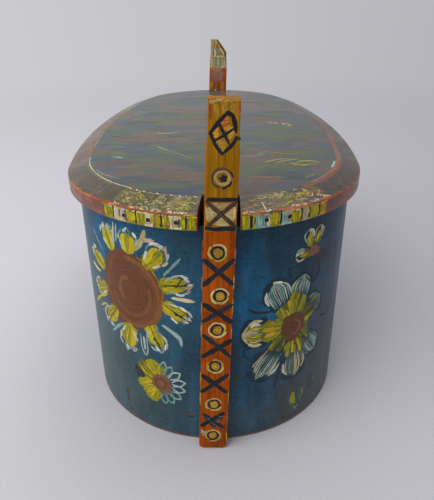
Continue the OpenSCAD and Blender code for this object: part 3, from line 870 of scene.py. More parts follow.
def loop_flower(work, centre, scale=1.0, flip=1, turn=0.0):
    """A small flower: fat yellow-green petals on one side and pale loops on the other."""
    move = set_at(centre, scale, flip, turn)
    work.disc("violet", move((-14.0, 3.0)), (4.4 * scale, 6.2 * scale), 0.06, 5, wobble=0.15)
    green = [((-4.0, 3.0), (-14.5, 11.5), 5.0), ((-2.0, 6.0), (-7.5, 15.5), 5.6),
             ((0.5, 6.0), (1.0, 13.5), 3.6), ((-5.0, 0.0), (-16.5, -6.0), 4.0),
             ((-3.0, -4.0), (-8.5, -15.0), 5.8), ((-4.0, -3.0), (-12.5, -10.5), 3.8)]
    for base, tip, half_width in green:
        petal = Petal(move(base), move(tip), half_width * scale)
        work.line("leaf", [petal.at(-0.05, 0.0), petal.at(0.5, 0.0), petal.at(1.0, 0.0)],
                  half_width * 1.9 * scale, 0.12, (0.3, 0.35), 0.4, 4)
        for c in (-0.55, 0.0, 0.55):
            work.line("yellow", [petal.at(0.0, c * 0.8), petal.at(0.5, c),
                                 petal.at(work.chance.uniform(0.8, 0.95), c * 0.85)],
                      half_width * work.chance.uniform(0.4, 0.55) * scale, 0.18, (0.2, 0.35))
    work.line("orange", [move((-13.0, -5.5)), move((-5.0, -3.0))], 1.6 * scale, 0.2)
    for angle, near, far in (
        (80, 7.0, 17.0), (62, 7.0, 16.0), (40, 7.5, 16.5), (14, 7.5, 16.0),
        (-9, 7.5, 15.5), (-36, 8.0, 15.5), (-60, 7.5, 15.5), (-80, 7.5, 15.0),
    ):
        a = math.radians(angle)
        petal = Petal(move((near * math.cos(a), near * math.sin(a))),
                      move((far * math.cos(a), far * math.sin(a))), 2.4 * scale)
        loop = [petal.at(t, c) for t, c in (
            (0.0, 0.6), (0.55, 1.0), (0.98, 0.35), (0.98, -0.35), (0.55, -1.0), (0.0, -0.6))]
        work.line("mint", loop, 1.1 * scale, 0.16, (0.15, 0.15))
    work.disc("mauve", centre, (7.2 * scale, 8.0 * scale), 0.2, 7, wobble=0.08)
    work.ring("heart", centre, 3.6 * scale, 3.4 * scale, 0.25)


def half_flower(work, centre, scale=1.0, flip=1, turn=0.0):
    """A small flower with three petals and a brown heart with a shade beside it."""
    move = set_at(centre, scale, flip, turn)
    work.disc("violet", move((9.0, -6.0)), (7.0 * scale, 4.5 * scale), 0.05, 6, wobble=0.15)
    half_width = 4.2
    for base, tip in (((-3.5, 0.5), (-14.5, 0.0)), ((-2.0, 4.0), (-6.0, 15.0)),
                      ((2.5, 4.0), (5.5, 15.0))):
        petal = Petal(move(base), move(tip), half_width * scale)
        work.line("navy", [petal.at(0.1, 0), petal.at(1.12, 0)], half_width * 2.3 * scale, 0.05,
                  (0.4, 0.35), 0.3, 4)
        work.line("leaf", [petal.at(0.0, 0.1), petal.at(0.72, 0.1)], half_width * 1.4 * scale,
                  0.12, (0.3, 0.4), 0.4)
        work.line("yellow", [petal.at(0.1, 0.3), petal.at(0.66, 0.2)], half_width * 0.6 * scale,
                  0.18, (0.3, 0.4))
        for c in (-0.95, -0.6, -0.25, 0.95):
            work.line(("white", "mint", "cream")[work.chance.randrange(3)],
                      [petal.at(0.35, c), petal.at(0.75, c), petal.at(0.98, c * 0.6)],
                      1.0 * scale, 0.2, (0.3, 0.3))
    work.disc("mauve", centre, (5.6 * scale, 3.6 * scale), 0.18, 6, wobble=0.15)


def leaf_spray(work, centre, scale=1.0, flip=1, turn=0.0):
    """A few loose yellow-green leaves near the foot of the wall."""
    move = set_at(centre, scale, flip, turn)
    for colour, points, width in (
        ("deep", [(0.0, 9.5), (1.0, 1.0), (-1.0, -9.0)], 9.0),
        ("leaf", [(-3.6, 5.5), (-3.8, 0.0), (-1.6, -5.0)], 4.0),
        ("olive", [(2.6, 7.0), (2.4, 0.0), (0.0, -5.0)], 3.4),
        ("dull_yellow", [(-4.4, 4.0), (-4.0, -0.5), (-2.2, -4.0)], 1.6),
        ("leaf", [(1.0, 4.0), (0.8, -3.0)], 1.6),
        ("slate", [(5.0, 4.5), (4.8, -1.0), (2.4, -6.0)], 1.4),
        ("slate", [(-6.4, 3.0), (-6.0, -2.0), (-3.6, -6.6)], 1.0),
        ("slate", [(-3.0, -6.4), (-1.0, -8.4), (1.0, -7.0)], 2.2),
        ("cream", [(-1.6, -7.0), (-0.6, -10.0)], 1.0),
        ("deep", [(13.4, 11.0), (13.0, 5.5), (14.4, -0.5)], 6.4),
        ("olive", [(13.2, 8.5), (13.0, 4.0), (14.0, 0.5)], 3.6),
        ("slate", [(15.6, 8.0), (16.0, 3.5)], 1.4), ("leaf", [(12.2, 6.5), (12.6, 3.0)], 1.2),
    ):
        work.line(colour, [move(p) for p in points], width * scale, 0.1, (0.35, 0.35))


# Rubbed and chipped places on the near half of the wall: colour, places along and up, width
WEAR = [
    ("chip", [(-60.5, 6.6), (-58.4, 5.6)], 2.4),
    ("chip", [(-20.0, 18.6), (-15.0, 18.2), (-11.5, 19.0)], 1.3),
    ("umber", [(-18.0, 17.4), (-13.0, 17.0)], 0.9), ("umber", [(-62.0, 22.0), (-61.4, 11.0)], 1.6),
    ("chip", [(43.0, 6.4), (45.0, 5.8)], 1.6),
    ("umber", [(48.0, 4.0), (52.0, 5.0), (55.0, 5.6)], 0.9),
    ("mauve", [(-104.0, 138.0), (-104.4, 128.0)], 1.6),
    ("dull_white", [(-102.0, 138.0), (-102.2, 131.0)], 1.2),
    ("olive", [(-100.6, 137.0), (-100.8, 127.0)], 1.6),
    ("grey", [(-106.0, 136.0), (-106.4, 120.0)], 1.4),
    ("dull_green", [(-105.0, 100.0), (-105.6, 84.0)], 1.4),
    ("dull_yellow", [(-108.0, 74.0), (-107.4, 66.0)], 1.2),
    ("leaf", [(-106.0, 80.0), (-104.0, 77.0)], 1.2),
    ("grey", [(-109.0, 112.0), (-109.6, 92.0)], 1.2),
    ("umber", [(84.0, 120.0), (85.0, 100.0)], 1.2),
]


def wall_wear(work, centre, scale=1.0, flip=1, turn=0.0):
    """Rubbed and chipped places, kept among the flowers because they are painted like them."""
    move = set_at(centre, scale, flip, turn)
    for colour, points, width in WEAR:
        work.line(colour, [move(p) for p in points], width * scale, 0.03, (0.4, 0.4), 0.2)


# ---- the pieces ----


def build_band():
    """The bent wall: a board's cross-section spun round the oval, with the lapped end on it."""
    skin = settings().skin / MM
    bm = bmesh.new()
    outer, inner = -HALF_LENGTH - skin, -HALF_LENGTH + WALL
    bm.faces.new(corners(bm, [(0, outer, 0), (0, inner, 0), (0, inner, WALL_HEIGHT),
                              (0, outer, WALL_HEIGHT)]))
    round_over(bm, list(bm.verts), BAND_ROUND, affect="VERTICES")
    bmesh.ops.delete(bm, geom=list(bm.faces), context="FACES_ONLY")
    spin_round_oval(bm, list(bm.verts) + list(bm.edges))

    start, end = (math.asin(x / FLANK_RADIUS) for x in (LAP_FROM, LAP_TO))
    hub = Vector((-FLANK_X, WIDEST_Y, 0))
    reach = (FLANK_RADIUS - WALL / 2, FLANK_RADIUS + LAP_RISE + skin)
    flap = bmesh.new()
    flap.faces.new(corners(flap, [hub + Vector((r, 0, z)) for r, z in (
        (reach[0], 0), (reach[1], 0), (reach[1], WALL_HEIGHT), (reach[0], WALL_HEIGHT))]))
    round_over(flap, list(flap.verts), LAP_ROUND, affect="VERTICES")
    bmesh.ops.rotate(flap, verts=flap.verts, cent=hub * MM, matrix=Matrix.Rotation(start, 3, "Z"))
    bmesh.ops.spin(flap, geom=list(flap.faces), cent=hub * MM, axis=(0, 0, 1),
                   angle=end - start, steps=22)
    for v in flap.verts:
        spoke = v.co / MM - hub
        flat = Vector((spoke.x, spoke.y, 0))
        past = FLANK_RADIUS * math.sin(math.atan2(flat.y, flat.x))
        thin = min(1.0, max(0.0, (past - LAP_FROM) / LAP_TAPER))
        high = flat.length - reach[0]
        flat.length = reach[0] + high * (LAP_EDGE + (1 - LAP_EDGE) * thin)
        v.co = (hub + Vector((flat.x, flat.y, spoke.z))) * MM
    bmesh.ops.recalc_face_normals(flap, faces=flap.faces)
    lapped = bpy.data.meshes.new("lapped_end")
    flap.to_mesh(lapped)
    flap.free()
    bmesh.ops.recalc_face_normals(bm, faces=bm.faces)
    for f in bm.faces:
        if f.normal.dot(outward_near(f.calc_center_median() / MM)) < -0.3:
            f.material_index = 1  # the inside stays bare
    bm.from_mesh(lapped)
    bpy.data.meshes.remove(lapped)
    return keep(bm, "bent_side_band", "box", ("side_band",), [
        blue_wall_paint(), bare_pine("bare_bent_pine", (1, 1, 0.6),
                                     ("#8f6a3c", "#b48c56", "#c7a46c", "#a07a4a"))])


def outward_near(point):
    """The oval's outward direction at the place nearest to a point."""
    x, y = abs(point.x), point.y
    side = 1 if point.x >= 0 else -1
    for centre, _, start, turn, _ in RIGHT_ARCS:
        angle = math.atan2(y - centre[1], x - centre[0])
        if start - 0.01 <= angle <= start + turn + 0.01:
            break
    return Vector((side * math.cos(angle), math.sin(angle), 0))


def notch_cutter(y_sign, left, right, flare, deep):
    """A wedge that cuts a notch into the lid's end, wider at its mouth on one side."""
    bm = bmesh.new()
    past = 1  # the cutter goes this far past the board
    low, high, mouth = STEP_LOW - past, LID_TOP + past, -LID_OUT - past
    floor = [(left - flare, mouth), (right, mouth), (right, deep), (left, deep)]
    base = bm.faces.new(corners(bm, [(x, y_sign * (HALF_LENGTH - d), low) for x, d in floor]))
    raised = bmesh.ops.extrude_face_region(bm, geom=[base])
    top = verts_of(raised["geom"])
    bmesh.ops.translate(bm, verts=top, vec=(0, 0, (high - low) * MM))
    for v in bm.verts:
        depth = HALF_LENGTH - abs(v.co.y) / MM
        if depth > 0:
            deeper = (v.co.z / MM - WALL_HEIGHT) * SNAP_SLOPE
            v.co.y = y_sign * (HALF_LENGTH - NOTCH_FLOOR - deeper) * MM
    bmesh.ops.recalc_face_normals(bm, faces=bm.faces)
    return place_in_scene(bm, "notch")


def build_lid():
    """The lid board: its carved outline spun round the oval and filled, then notched."""
    bm = bmesh.new()
    outline = [(PANEL_OUT, LID_TOP), (LID_OUT, LID_RIM), (LID_OUT, WALL_HEIGHT),
               (STEP_OUT, WALL_HEIGHT), (STEP_OUT, STEP_LOW)]
    chain = corners(bm, [(0, -HALF_LENGTH - out, z) for out, z in outline])
    lines = [bm.edges.new(pair) for pair in zip(chain, chain[1:])]
    spin_round_oval(bm, chain + lines)
    bmesh.ops.holes_fill(bm, edges=[e for e in bm.edges if e.is_boundary], sides=0)
    bmesh.ops.recalc_face_normals(bm, faces=bm.faces)
    blank = place_in_scene(bm, "lid_blank")
    cutters = [notch_cutter(-1, *NEAR_NOTCH), notch_cutter(1, *FAR_NOTCH)]
    for cutter in cutters:
        cut = blank.modifiers.new("cut", "BOOLEAN")
        cut.operation, cut.solver, cut.object = "DIFFERENCE", "EXACT", cutter
    solid = blank.evaluated_get(bpy.context.evaluated_depsgraph_get()).to_mesh()
    bm = bmesh.new()
    bm.from_mesh(solid)
    for spare in (*cutters, blank):
        bpy.data.objects.remove(spare)
    bmesh.ops.remove_doubles(bm, verts=bm.verts, dist=0.02 * MM)
    bmesh.ops.recalc_face_normals(bm, faces=bm.faces)
    round_over(bm, sharp_edges(bm, angle=40.0), LID_ROUND)
    # The bend between the slope and the panel is flatter than the board's other edges
    panel_edges = [e for e in bm.edges if e.is_manifold and 0.2 < e.calc_face_angle(0.0) < 0.6
                   and min(v.co.z for v in e.verts) > (LID_TOP - 0.4) * MM]
    round_over(bm, panel_edges, PANEL_ROUND)
    for f in bm.faces:
        if f.normal.z < -0.5 or f.calc_center_median().z < (WALL_HEIGHT + 0.1) * MM:
            f.material_index = 1  # the underside and the step stay bare
    return keep(bm, "carved_lid_board", "lid", ("lid_board",), [
        lid_paint(), bare_pine("bare_lid_underside", (1, 0.08, 1),
                               ("#8a6238", "#b08a55", "#c39c66", "#9a7448"))], smooth=30.0)


def post_half_width(height, foot, middle, top):
    """Half a post's width at a height: it tapers to the lid, and again at the neck."""
    if height <= LID_RIM:
        return (foot + (middle - foot) * max(0.0, height) / LID_RIM) / 2
    neck = min(1.0, max(0.0, (height - NECK_FROM) / (NECK_TO - NECK_FROM)))
    return (middle + (top - middle) * neck * neck * (3 - 2 * neck)) / 2


def build_post(name, body, node, tall, widths, corner, paint):
    """A carved post: its side view extruded, narrowed, rounded and stood in its place."""
    bm = bmesh.new()
    lid_face = HEAD_REACH + (LID_TOP - WALL_HEIGHT) * SNAP_SLOPE
    thin = BLADE - POST_FACE
    face = -POST_FACE - settings().skin / MM
    ledge = WALL_HEIGHT + HEAD_GAP
    side = [(face, FOOT_LIFT), (FOOT_BACK, FOOT_LIFT), (POST_BACK, FOOT_TOP), (POST_BACK, ledge),
            (HEAD_REACH + HEAD_GAP * SNAP_SLOPE, ledge), (lid_face, LID_TOP),
            (lid_face - HEAD_STEP, LID_TOP + HEAD_TOP), (thin, LID_TOP + BLADE_FROM),
            (thin, tall), (face, tall)]
    half = 12.0  # half the width of the blank, before it is narrowed
    outline = corners(bm, [(-half, y, z) for y, z in side])
    bm.faces.new(outline)
    round_over(bm, outline[6:8], NECK_CURVE, 7, "VERTICES")
    raised = bmesh.ops.extrude_face_region(bm, geom=list(bm.faces), use_keep_orig=True)
    bmesh.ops.translate(bm, verts=verts_of(raised["geom"]), vec=(2 * half * MM, 0, 0))
    bmesh.ops.recalc_face_normals(bm, faces=bm.faces)
    for level in POST_LEVELS:
        bmesh.ops.bisect_plane(bm, geom=list(bm.verts) + list(bm.edges) + list(bm.faces),
                               plane_co=(0, 0, level * MM), plane_no=(0, 0, 1))
    for v in bm.verts:
        v.co.x *= post_half_width(v.co.z / MM, *widths) / half
    if corner:
        cut_from = Vector((-widths[2] / 2 + corner[0], 0, tall)) * MM
        cut = bmesh.ops.bisect_plane(
            bm, geom=list(bm.verts) + list(bm.edges) + list(bm.faces), plane_co=cut_from,
            plane_no=Vector((-corner[1], 0, corner[0])).normalized(), clear_outer=True)
        bmesh.ops.contextual_create(bm, geom=edges_of(cut["geom_cut"]))
    feet = [e for e in bm.edges if all(v.co.z < (FOOT_LIFT + 0.01) * MM for v in e.verts)
            and abs(e.verts[0].co.x - e.verts[1].co.x) < 1e-6]
    round_over(bm, feet, FOOT_ROUND, 5)
    # The rounded arrises are marked for the edge colour, which is worn paint and a painted
    # highlight.
    layer = bm.verts.layers.float.new("worn")
    rounded = set(round_over(bm, sharp_edges(bm), settings().arris / MM, 2)["faces"])
    for v in bm.verts:
        if v.link_faces and all(f in rounded for f in v.link_faces):
            v[layer] = 1.0
    for v in bm.verts:
        height = v.co.z / MM
        drift = noise.noise(Vector((v.co.x * 300, v.co.y * 300 + len(name), height * 0.05)))
        v.co.x += WAVER * drift * MM
    lean = Matrix.Rotation(LEAN if body == "near_post" else -LEAN, 4, "Y")
    if body == "near_post":
        stand = Matrix.Translation(Vector((NEAR_POST_X, -HALF_LENGTH, 0)) * MM)
    else:
        stand = Matrix.Translation(Vector((FAR_POST_X, HALF_LENGTH, 0)) * MM) @ Matrix.Rotation(
            math.pi, 4, "Z")
    bmesh.ops.transform(bm, matrix=stand @ lean, verts=bm.verts)
    bmesh.ops.recalc_face_normals(bm, faces=bm.faces)
    return keep(bm, name, body, (node,), [paint])


def build_near_post():
    """The near post, ochre above the lid's edge and rust below."""
    paint = post_paint("ochre_and_rust_glaze_on_pine", settings().post_upper,
                       settings().post_lower, ("#b47e0c", "#b45c0c"),
                       ("#8c5c06", "#743000"), "#b85e1c", COAT_CHANGE)
    return build_post("near_spring_post", "near_post", "near_post", NEAR_POST_TALL,
                      NEAR_POST_WIDTHS, None, paint)


def build_far_post():
    """The far post, with one top corner cut off, cream at the top and rust below."""
    paint = post_paint("rust_and_cream_glaze_on_pine", shade(settings().post_upper, 0.9),
                       shade(settings().post_lower, 0.8), ("#c9b68a", "#a85c28"),
                       ("#a8a080", "#7a3a18"), "#8a4a22", FAR_COAT_CHANGE)
    return build_post("far_spring_post", "far_post", "far_post", FAR_POST_TALL,
                      FAR_POST_WIDTHS, FAR_POST_CORNER, paint)


# Rings and crosses down the near post: middle of each, in millimetres across and up
POST_RINGS = [(1.7, 133.2), (2.7, 108.4), (1.1, 87.5), (-0.1, 63.0), (-1.1, 35.3), (-2.0, 11.0)]
POST_CROSSES = [
    (((-5.6, 130.0), (9.6, 115.2)), ((10.2, 130.0), (-6.2, 114.6))),
    (((-6.2, 104.0), (9.0, 92.0)), ((9.6, 103.8), (-6.8, 92.6))),
    (((-6.8, 84.6), (8.6, 69.4)), ((8.8, 81.0), (-7.6, 69.6))),
    (((-8.0, 57.6), (6.4, 44.0)), ((7.4, 57.6), (-8.4, 44.6))),
    (((-7.6, 28.5), (4.6, 17.0)), ((5.0, 29.0), (-9.0, 18.5))),
]


def paint_post_crosses(work):
    """Crosses and ringed dots by turns up the rust part."""
    pick = work.chance
    for one, other in POST_CROSSES:
        for a, b in (one, other):
            middle = ((a[0] + b[0]) / 2, (a[1] + b[1]) / 2 + pick.uniform(-0.4, 0.4))
            work.line("dark", [a, middle, b], pick.uniform(2.5, 3.0), 0.14, (0.10, 0.12), 0.6)
    for x, z in ((-5.0, 24.0), (-2.0, 19.0), (2.0, 25.5), (0.5, 21.5)):
        work.line("navy", [(x - 1.6, z + 1.6), (x + 1.8, z - 1.4)], 2.4, 0.2, (0.3, 0.3))
        work.line("grey", [(x, z + 1.0), (x + 1.2, z)], 0.7, 0.24)
    for x, z in POST_RINGS:
        work.disc("ochre", (x, z), (3.0, 3.3), 0.12, 5, wobble=0.1)
        work.line("yellow", [(x - 1.2, z + 0.4), (x + 1.3, z - 0.2)], 1.5, 0.2, (0.3, 0.3), 0.4)
        for turn in (0.0, 2.1, 4.2):
            work.ring(pick.choice(("cream", "buff", "cream")), (x, z), 4.5, pick.uniform(0.7, 1.1),
                      0.16, share=pick.uniform(0.26, 0.34), start=turn + pick.uniform(0, 0.3))
        work.ring("yellow", (x, z), 4.0, 0.7, 0.19, share=0.6, shake=0.07)
        work.ring("dark", (x + 0.1, z), 2.9, pick.uniform(1.2, 1.6), 0.2, squash=1.12, shake=0.1)


def paint_post_square(work):
    """The crossed pale square at the height of the lid."""
    work.line("dark", [(-3.4, 161.3), (4.0, 161.0), (11.4, 161.2)], 2.0, 0.2, (0.06, 0.08), 0.5)
    work.line("dark", [(-4.4, 146.8), (1.0, 146.0), (6.0, 146.4), (10.2, 145.8)], 2.3, 0.2,
              (0.06, 0.08), 0.5)
    for centre, size in (((3.2, 157.4), (4.6, 2.4)), ((3.2, 149.8), (4.6, 2.4)),
                         ((-1.2, 153.8), (2.4, 3.6)), ((7.8, 153.8), (2.6, 3.8))):
        work.disc("buff", centre, size, 0.05, 5, wobble=0.2, swirl=False)
    for a, b in (((-3.6, 157.8), (-3.0, 150.4)), ((9.8, 157.4), (9.6, 150.8)),
                 ((1.4, 148.6), (5.4, 148.4)), ((-1.6, 156.0), (-0.8, 152.4))):
        work.line("cream", [a, b], 1.1, 0.08, (0.4, 0.4))
    for a, b in (((-3.8, 160.6), (10.4, 147.0)), ((10.8, 160.4), (-3.8, 147.0))):
        middle = ((a[0] + b[0]) / 2, (a[1] + b[1]) / 2)
        work.line("umber", [a, middle, b], 2.1, 0.16, (0.12, 0.12), 0.5)
        work.line("olive", [((a[0] + middle[0]) / 2, (a[1] + middle[1]) / 2),
                            ((b[0] + middle[0]) / 2, (b[1] + middle[1]) / 2)], 0.9, 0.2)
    work.disc("dark", (3.4, 153.8), (1.7, 1.6), 0.18, 4, wobble=0.2)


def paint_post_star(work):
    """The star in its broken ring."""
    for colour, radius, width, share, start in (
        ("umber", 4.7, 1.2, 0.58, 0.9), ("dark", 4.6, 1.1, 0.2, 4.7),
        ("dark", 4.8, 0.9, 0.12, 0.1),
    ):
        work.ring(colour, (3.9, 171.4), radius, width, 0.18, share, start)
    work.ring("buff", (4.0, 171.4), 3.1, 1.3, 0.1, shake=0.1)
    work.ring("yellow", (4.0, 171.4), 3.0, 0.6, 0.13, share=0.6, shake=0.1)
    star = (4.4, 171.3)
    work.disc("dark", star, (1.5, 1.4), 0.2, 6, wobble=0.2)
    for k in range(5):
        a = 0.5 + k * 1.257
        work.line("dark", [star, (star[0] + 2.3 * math.cos(a), star[1] + 2.1 * math.sin(a))],
                  1.1, 0.2, (0.3, 0.5))


def paint_post_diamond(work):
    """The crossed diamond on the neck and its four bright fields."""
    for centre, size, tone in (
        ((4.8, 196.4), (2.4, 2.8), "orange"), ((1.0, 192.2), (1.7, 2.4), "orange"),
        ((7.8, 192.6), (1.9, 2.8), "ochre"), ((4.0, 187.0), (2.4, 2.8), "ochre"),
    ):
        work.disc(tone, centre, size, 0.07, 4, wobble=0.2, swirl=False)
    for points, width in (
        ([(-1.7, 191.4), (2.0, 196.2), (6.2, 200.8)], 1.9),
        ([(5.4, 200.8), (8.0, 200.0), (9.4, 196.8), (10.0, 192.0)], 1.9),
        ([(10.6, 190.6), (8.4, 186.8), (3.8, 182.6)], 1.6),
        ([(-1.2, 193.0), (0.6, 187.6), (4.2, 182.2)], 1.7),
        ([(0.6, 188.8), (4.6, 191.0), (9.8, 194.4)], 1.2),
        ([(2.6, 196.8), (4.8, 191.6), (7.2, 187.0)], 1.3), ([(11.0, 189.8), (12.0, 189.2)], 1.4),
    ):
        work.line("dark", points, width, 0.2, (0.1, 0.12), 0.5)


def paint_post_wear(work):
    """The rubbed top, the pale chips at the foot, and the bright lines along the arrises of the
    rust part, which are worn paint and a painted highlight.
    """
    pick = work.chance
    for x in range(12):
        z = 205.7 + pick.uniform(-0.4, 0.4)
        work.line(("cream", "buff", "ochre")[x % 3],
                  [(x - 1.6, z), (x + pick.uniform(0.2, 1.0), z + pick.uniform(-0.4, 0.4))],
                  pick.uniform(0.7, 1.2), 0.1, (0.3, 0.3))
    for x, width in ((-1.0, 1.2), (1.6, 2.6), (5.0, 2.2), (8.6, 2.6), (11.4, 1.2)):
        work.line("ochre" if 0 < x < 10 else "rust", [(x, 204.6), (x, pick.uniform(197, 201))],
                  width, 0.05, (0.3, 0.7))
    work.line("white", [(-8.8, 16.0), (-7.2, 12.4), (-4.6, 11.2)], 1.6, 0.1, (0.3, 0.4))
    work.line("white", [(-8.6, 12.6), (-6.0, 14.6)], 1.0, 0.12)
    work.line("blush", [(-9.0, 14.0), (-7.0, 10.4)], 1.4, 0.14)
    # Bright lines along both arrises of the rust part: worn paint and a painted highlight.
    for x_low, x_high in ((-10.2, -5.4), (5.8, 10.6)):
        for k in range(9):
            low = 4 + 15.4 * k + pick.uniform(0, 3)
            high = low + pick.uniform(7, 12)
            x0, x1 = (x_low + (x_high - x_low) * (z / COAT_CHANGE) for z in (low, high))
            if high < WALL_HEIGHT:
                work.line(pick.choice(("ember", "orange", "rust")), [(x0, low), (x1, high)], 0.6,
                          0.08, (0.4, 0.4))


def paint_near_post():
    """The marks up the near post's outer face."""
    work = Brushwork(on_near_post, 41)
    for part in (paint_post_crosses, paint_post_square, paint_post_star, paint_post_diamond,
                 paint_post_wear):
        part(work)
    work.finish("near_post_marks", "near_post")


# Marks on the inner side of the far post: colour, places across and up, width
FAR_POST_STROKES = [
    ("ochre", [(-3.4, 165.0), (-3.6, 152.0)], 1.6),
    ("orange", [(-1.8, 165.5), (-2.0, 158.0)], 1.6),
    ("crimson", [(0.0, 165.5), (-0.2, 158.0)], 1.8),
    ("dull_olive", [(2.0, 165.5), (1.8, 158.0)], 1.6), ("rust", [(3.8, 165.5), (3.6, 158.0)], 1.6),
    ("crimson", [(5.4, 165.5), (5.2, 152.0)], 1.4), ("ochre", [(7.2, 165.5), (7.0, 152.0)], 1.8),
    ("rust", [(9.2, 165.5), (9.0, 152.0)], 1.8), ("crimson", [(-1.6, 158.0), (-1.6, 152.0)], 2.2),
    ("cream", [(1.2, 157.8), (1.1, 152.0)], 2.6),
    ("dull_green", [(2.2, 157.4), (2.2, 153.0)], 0.8),
    ("crimson", [(3.8, 158.0), (3.7, 152.0)], 1.6), ("mauve", [(-1.6, 174.6), (-1.8, 166.0)], 3.4),
    ("mauve", [(1.2, 175.4), (1.0, 166.0)], 3.0), ("mauve", [(4.2, 174.8), (4.0, 166.0)], 3.4),
    ("mauve", [(7.2, 175.2), (7.0, 166.0)], 3.2), ("rust", [(9.6, 174.0), (9.4, 166.0)], 1.8),
    ("dull_red", [(-2.4, 176.4), (3.0, 176.0), (8.6, 176.6)], 2.0),
    ("cream", [(-1.8, 202.6), (-2.2, 190.0), (-2.9, 178.0)], 1.2),
    ("buff", [(0.2, 202.8), (0.0, 196.6)], 2.6),
    ("cream", [(0.6, 195.4), (1.4, 192.0), (1.4, 189.4)], 1.8),
    ("grey", [(2.0, 196.6), (3.4, 193.4), (4.6, 190.0)], 1.8),
    ("grey", [(3.8, 196.4), (5.4, 193.0), (5.8, 190.0)], 1.2),
    ("buff", [(4.0, 200.6), (6.4, 196.4)], 1.6),
    ("cream", [(6.4, 196.4), (8.6, 193.0), (10.0, 190.4)], 1.6),
    ("cream", [(1.6, 203.4), (3.6, 200.6)], 1.0),
    ("dull_white", [(0.0, 188.4), (-0.4, 178.6)], 2.2),
    ("dull_yellow", [(2.2, 188.4), (1.9, 178.6)], 2.2),
    ("dull_white", [(4.4, 188.2), (4.1, 178.6)], 2.2),
    ("dull_yellow", [(6.6, 188.0), (6.3, 178.6)], 2.2),
    ("dull_white", [(8.6, 187.8), (8.3, 179.0)], 1.8),
    ("cream", [(-1.2, 188.9), (4.0, 188.7), (9.8, 188.9)], 0.8),
    ("dull_green", [(1.0, 186.0), (5.0, 185.8), (8.8, 186.0)], 0.5),
    ("dull_green", [(1.0, 183.2), (5.0, 183.0), (8.6, 183.2)], 0.5),
    ("dull_green", [(2.0, 180.4), (6.0, 180.2)], 0.5),
    ("grey", [(-1.3, 188.0), (-1.7, 179.4)], 0.6), ("umber", [(9.9, 187.6), (9.6, 180.4)], 0.7),
    ("umber", [(5.6, 201.4), (8.0, 197.4), (10.8, 192.8)], 0.9),
    ("umber", [(11.3, 192.6), (11.2, 184.0)], 0.9),
    ("dull_olive", [(11.1, 184.0), (10.8, 178.0)], 0.8),
    ("cream", [(10.4, 189.6), (10.2, 179.0)], 0.7),
]


def paint_far_post(post):
    """Upright strokes, small blocks and a pale top on the far post's inner side."""
    over_lid = HALF_LENGTH - 13  # the strokes are cast outwards from here
    surface = cast_on(post, lambda x, z: Vector((x, over_lid, z)), Vector((0, 1, 0)))
    work = Brushwork(surface, 42)
    for colour, points, width in FAR_POST_STROKES:
        work.line(colour, points, width, 0.1, (0.06, 0.06), 0.7)
    work.finish("far_post_marks", "far_post")


# Blocks along the near edge of the lid: from, to and the colour; then its dark strokes and dots
EDGE_BLOCKS = [
    (-56.8, -50.9, "leaf"), (-51.2, -42.6, "cream"), (-43.0, -32.4, "leaf"),
    (-32.8, -28.8, "cream"), (-29.4, -20.0, "leaf"), (-20.4, -15.2, "cream"),
    (-15.7, -8.6, "leaf"), (12.9, 16.4, "leaf"), (17.0, 19.4, "leaf"), (18.8, 26.0, "mint"),
    (25.8, 31.4, "leaf"), (31.4, 37.0, "mint"), (36.7, 42.8, "leaf"), (42.8, 48.0, "cream"),
    (47.6, 53.8, "leaf"), (53.6, 58.4, "orange"),
]
EDGE_TONES = {
    "leaf": ("leaf", "yellow", "yellow", "yellow"), "cream": ("cream", "blush", "dull_olive"),
    "mint": ("mint", "grey", "mint", "cream"), "orange": ("orange", "leaf", "blush"),
}
EDGE_STROKES = [-50.9, -37.5, -24.6, -12.7, 16.7, 17.2, 31.5, 42.9, 47.4, 53.9]
EDGE_DOTS = [(-44.6, 147.6), (-31.0, 147.6), (-17.5, 147.8), (24.4, 148.2), (36.2, 148.0)]


def paint_lid_edge(work):
    """Blocks of colour brushed upright round the near edge, pale dabs along their top that are
    worn paint and a painted highlight on the arris, and the worn line above them.
    """
    pick = work.chance
    for left, right, kind in EDGE_BLOCKS:
        tones = EDGE_TONES[kind]
        work.line(tones[0], [((left + right) / 2, 152.0), ((left + right) / 2, 144.2)],
                  (right - left) * 1.12, 0.05, (0.03, 0.03), 0.85)
        count = max(2, round((right - left) / 1.3))
        for i in range(count):
            x = left + (right - left) * (i + 0.5) / count
            top, low = pick.uniform(149.5, 151.8), pick.uniform(144.4, 146.4)
            work.line(pick.choice(tones), [(x, top), (x + pick.uniform(-0.3, 0.3), low)],
                      pick.uniform(0.9, 1.6), 0.11, (0.2, 0.3), 0.4)
    for x in EDGE_STROKES:
        work.line("dark", [(x, 151.8), (x + 0.2, 148.0), (x - 0.1, 144.6)], 1.05, 0.2,
                  (0.15, 0.2), 0.5)
    for x, z in EDGE_DOTS:
        work.disc("dark", (x, z), (1.2, 1.2), 0.2, 4, wobble=0.08)
        work.ring("dull_olive", (x, z), 2.0, 0.5, 0.16, share=0.6)
    # Pale dabs under the rim's arris: worn paint and a painted highlight.
    for side, first, last in ((-1, 7.5, 58.0), (1, 12.4, 58.0)):
        place = first
        while place < last:
            x = side * place
            work.line(pick.choice(("cream", "white", "cream", "yellow")),
                      [(x, 151.0 + pick.uniform(-0.4, 0.3)),
                       (x + side * pick.uniform(1.6, 3.4), 151.1)],
                      0.8, 0.14, (0.35, 0.35))
            place += pick.uniform(2.4, 5.0)
    for first, last in ((-92.0, -8.6), (12.8, 74.0)):
        count = round((last - first) / 3)
        points = [(first + (last - first) * i / count, 151.9 + pick.uniform(-0.25, 0.25))
                  for i in range(count + 1)]
        for i in range(0, count, 2):
            work.line(pick.choice(("ember", "ember", "rust", "orange")), points[i : i + 4],
                      pick.uniform(0.6, 1.1), 0.2, (0.12, 0.2), 0.5)
            if pick.random() < 0.3:
                work.line("dark", points[i : i + 2], 0.5, 0.24, (0.3, 0.3))


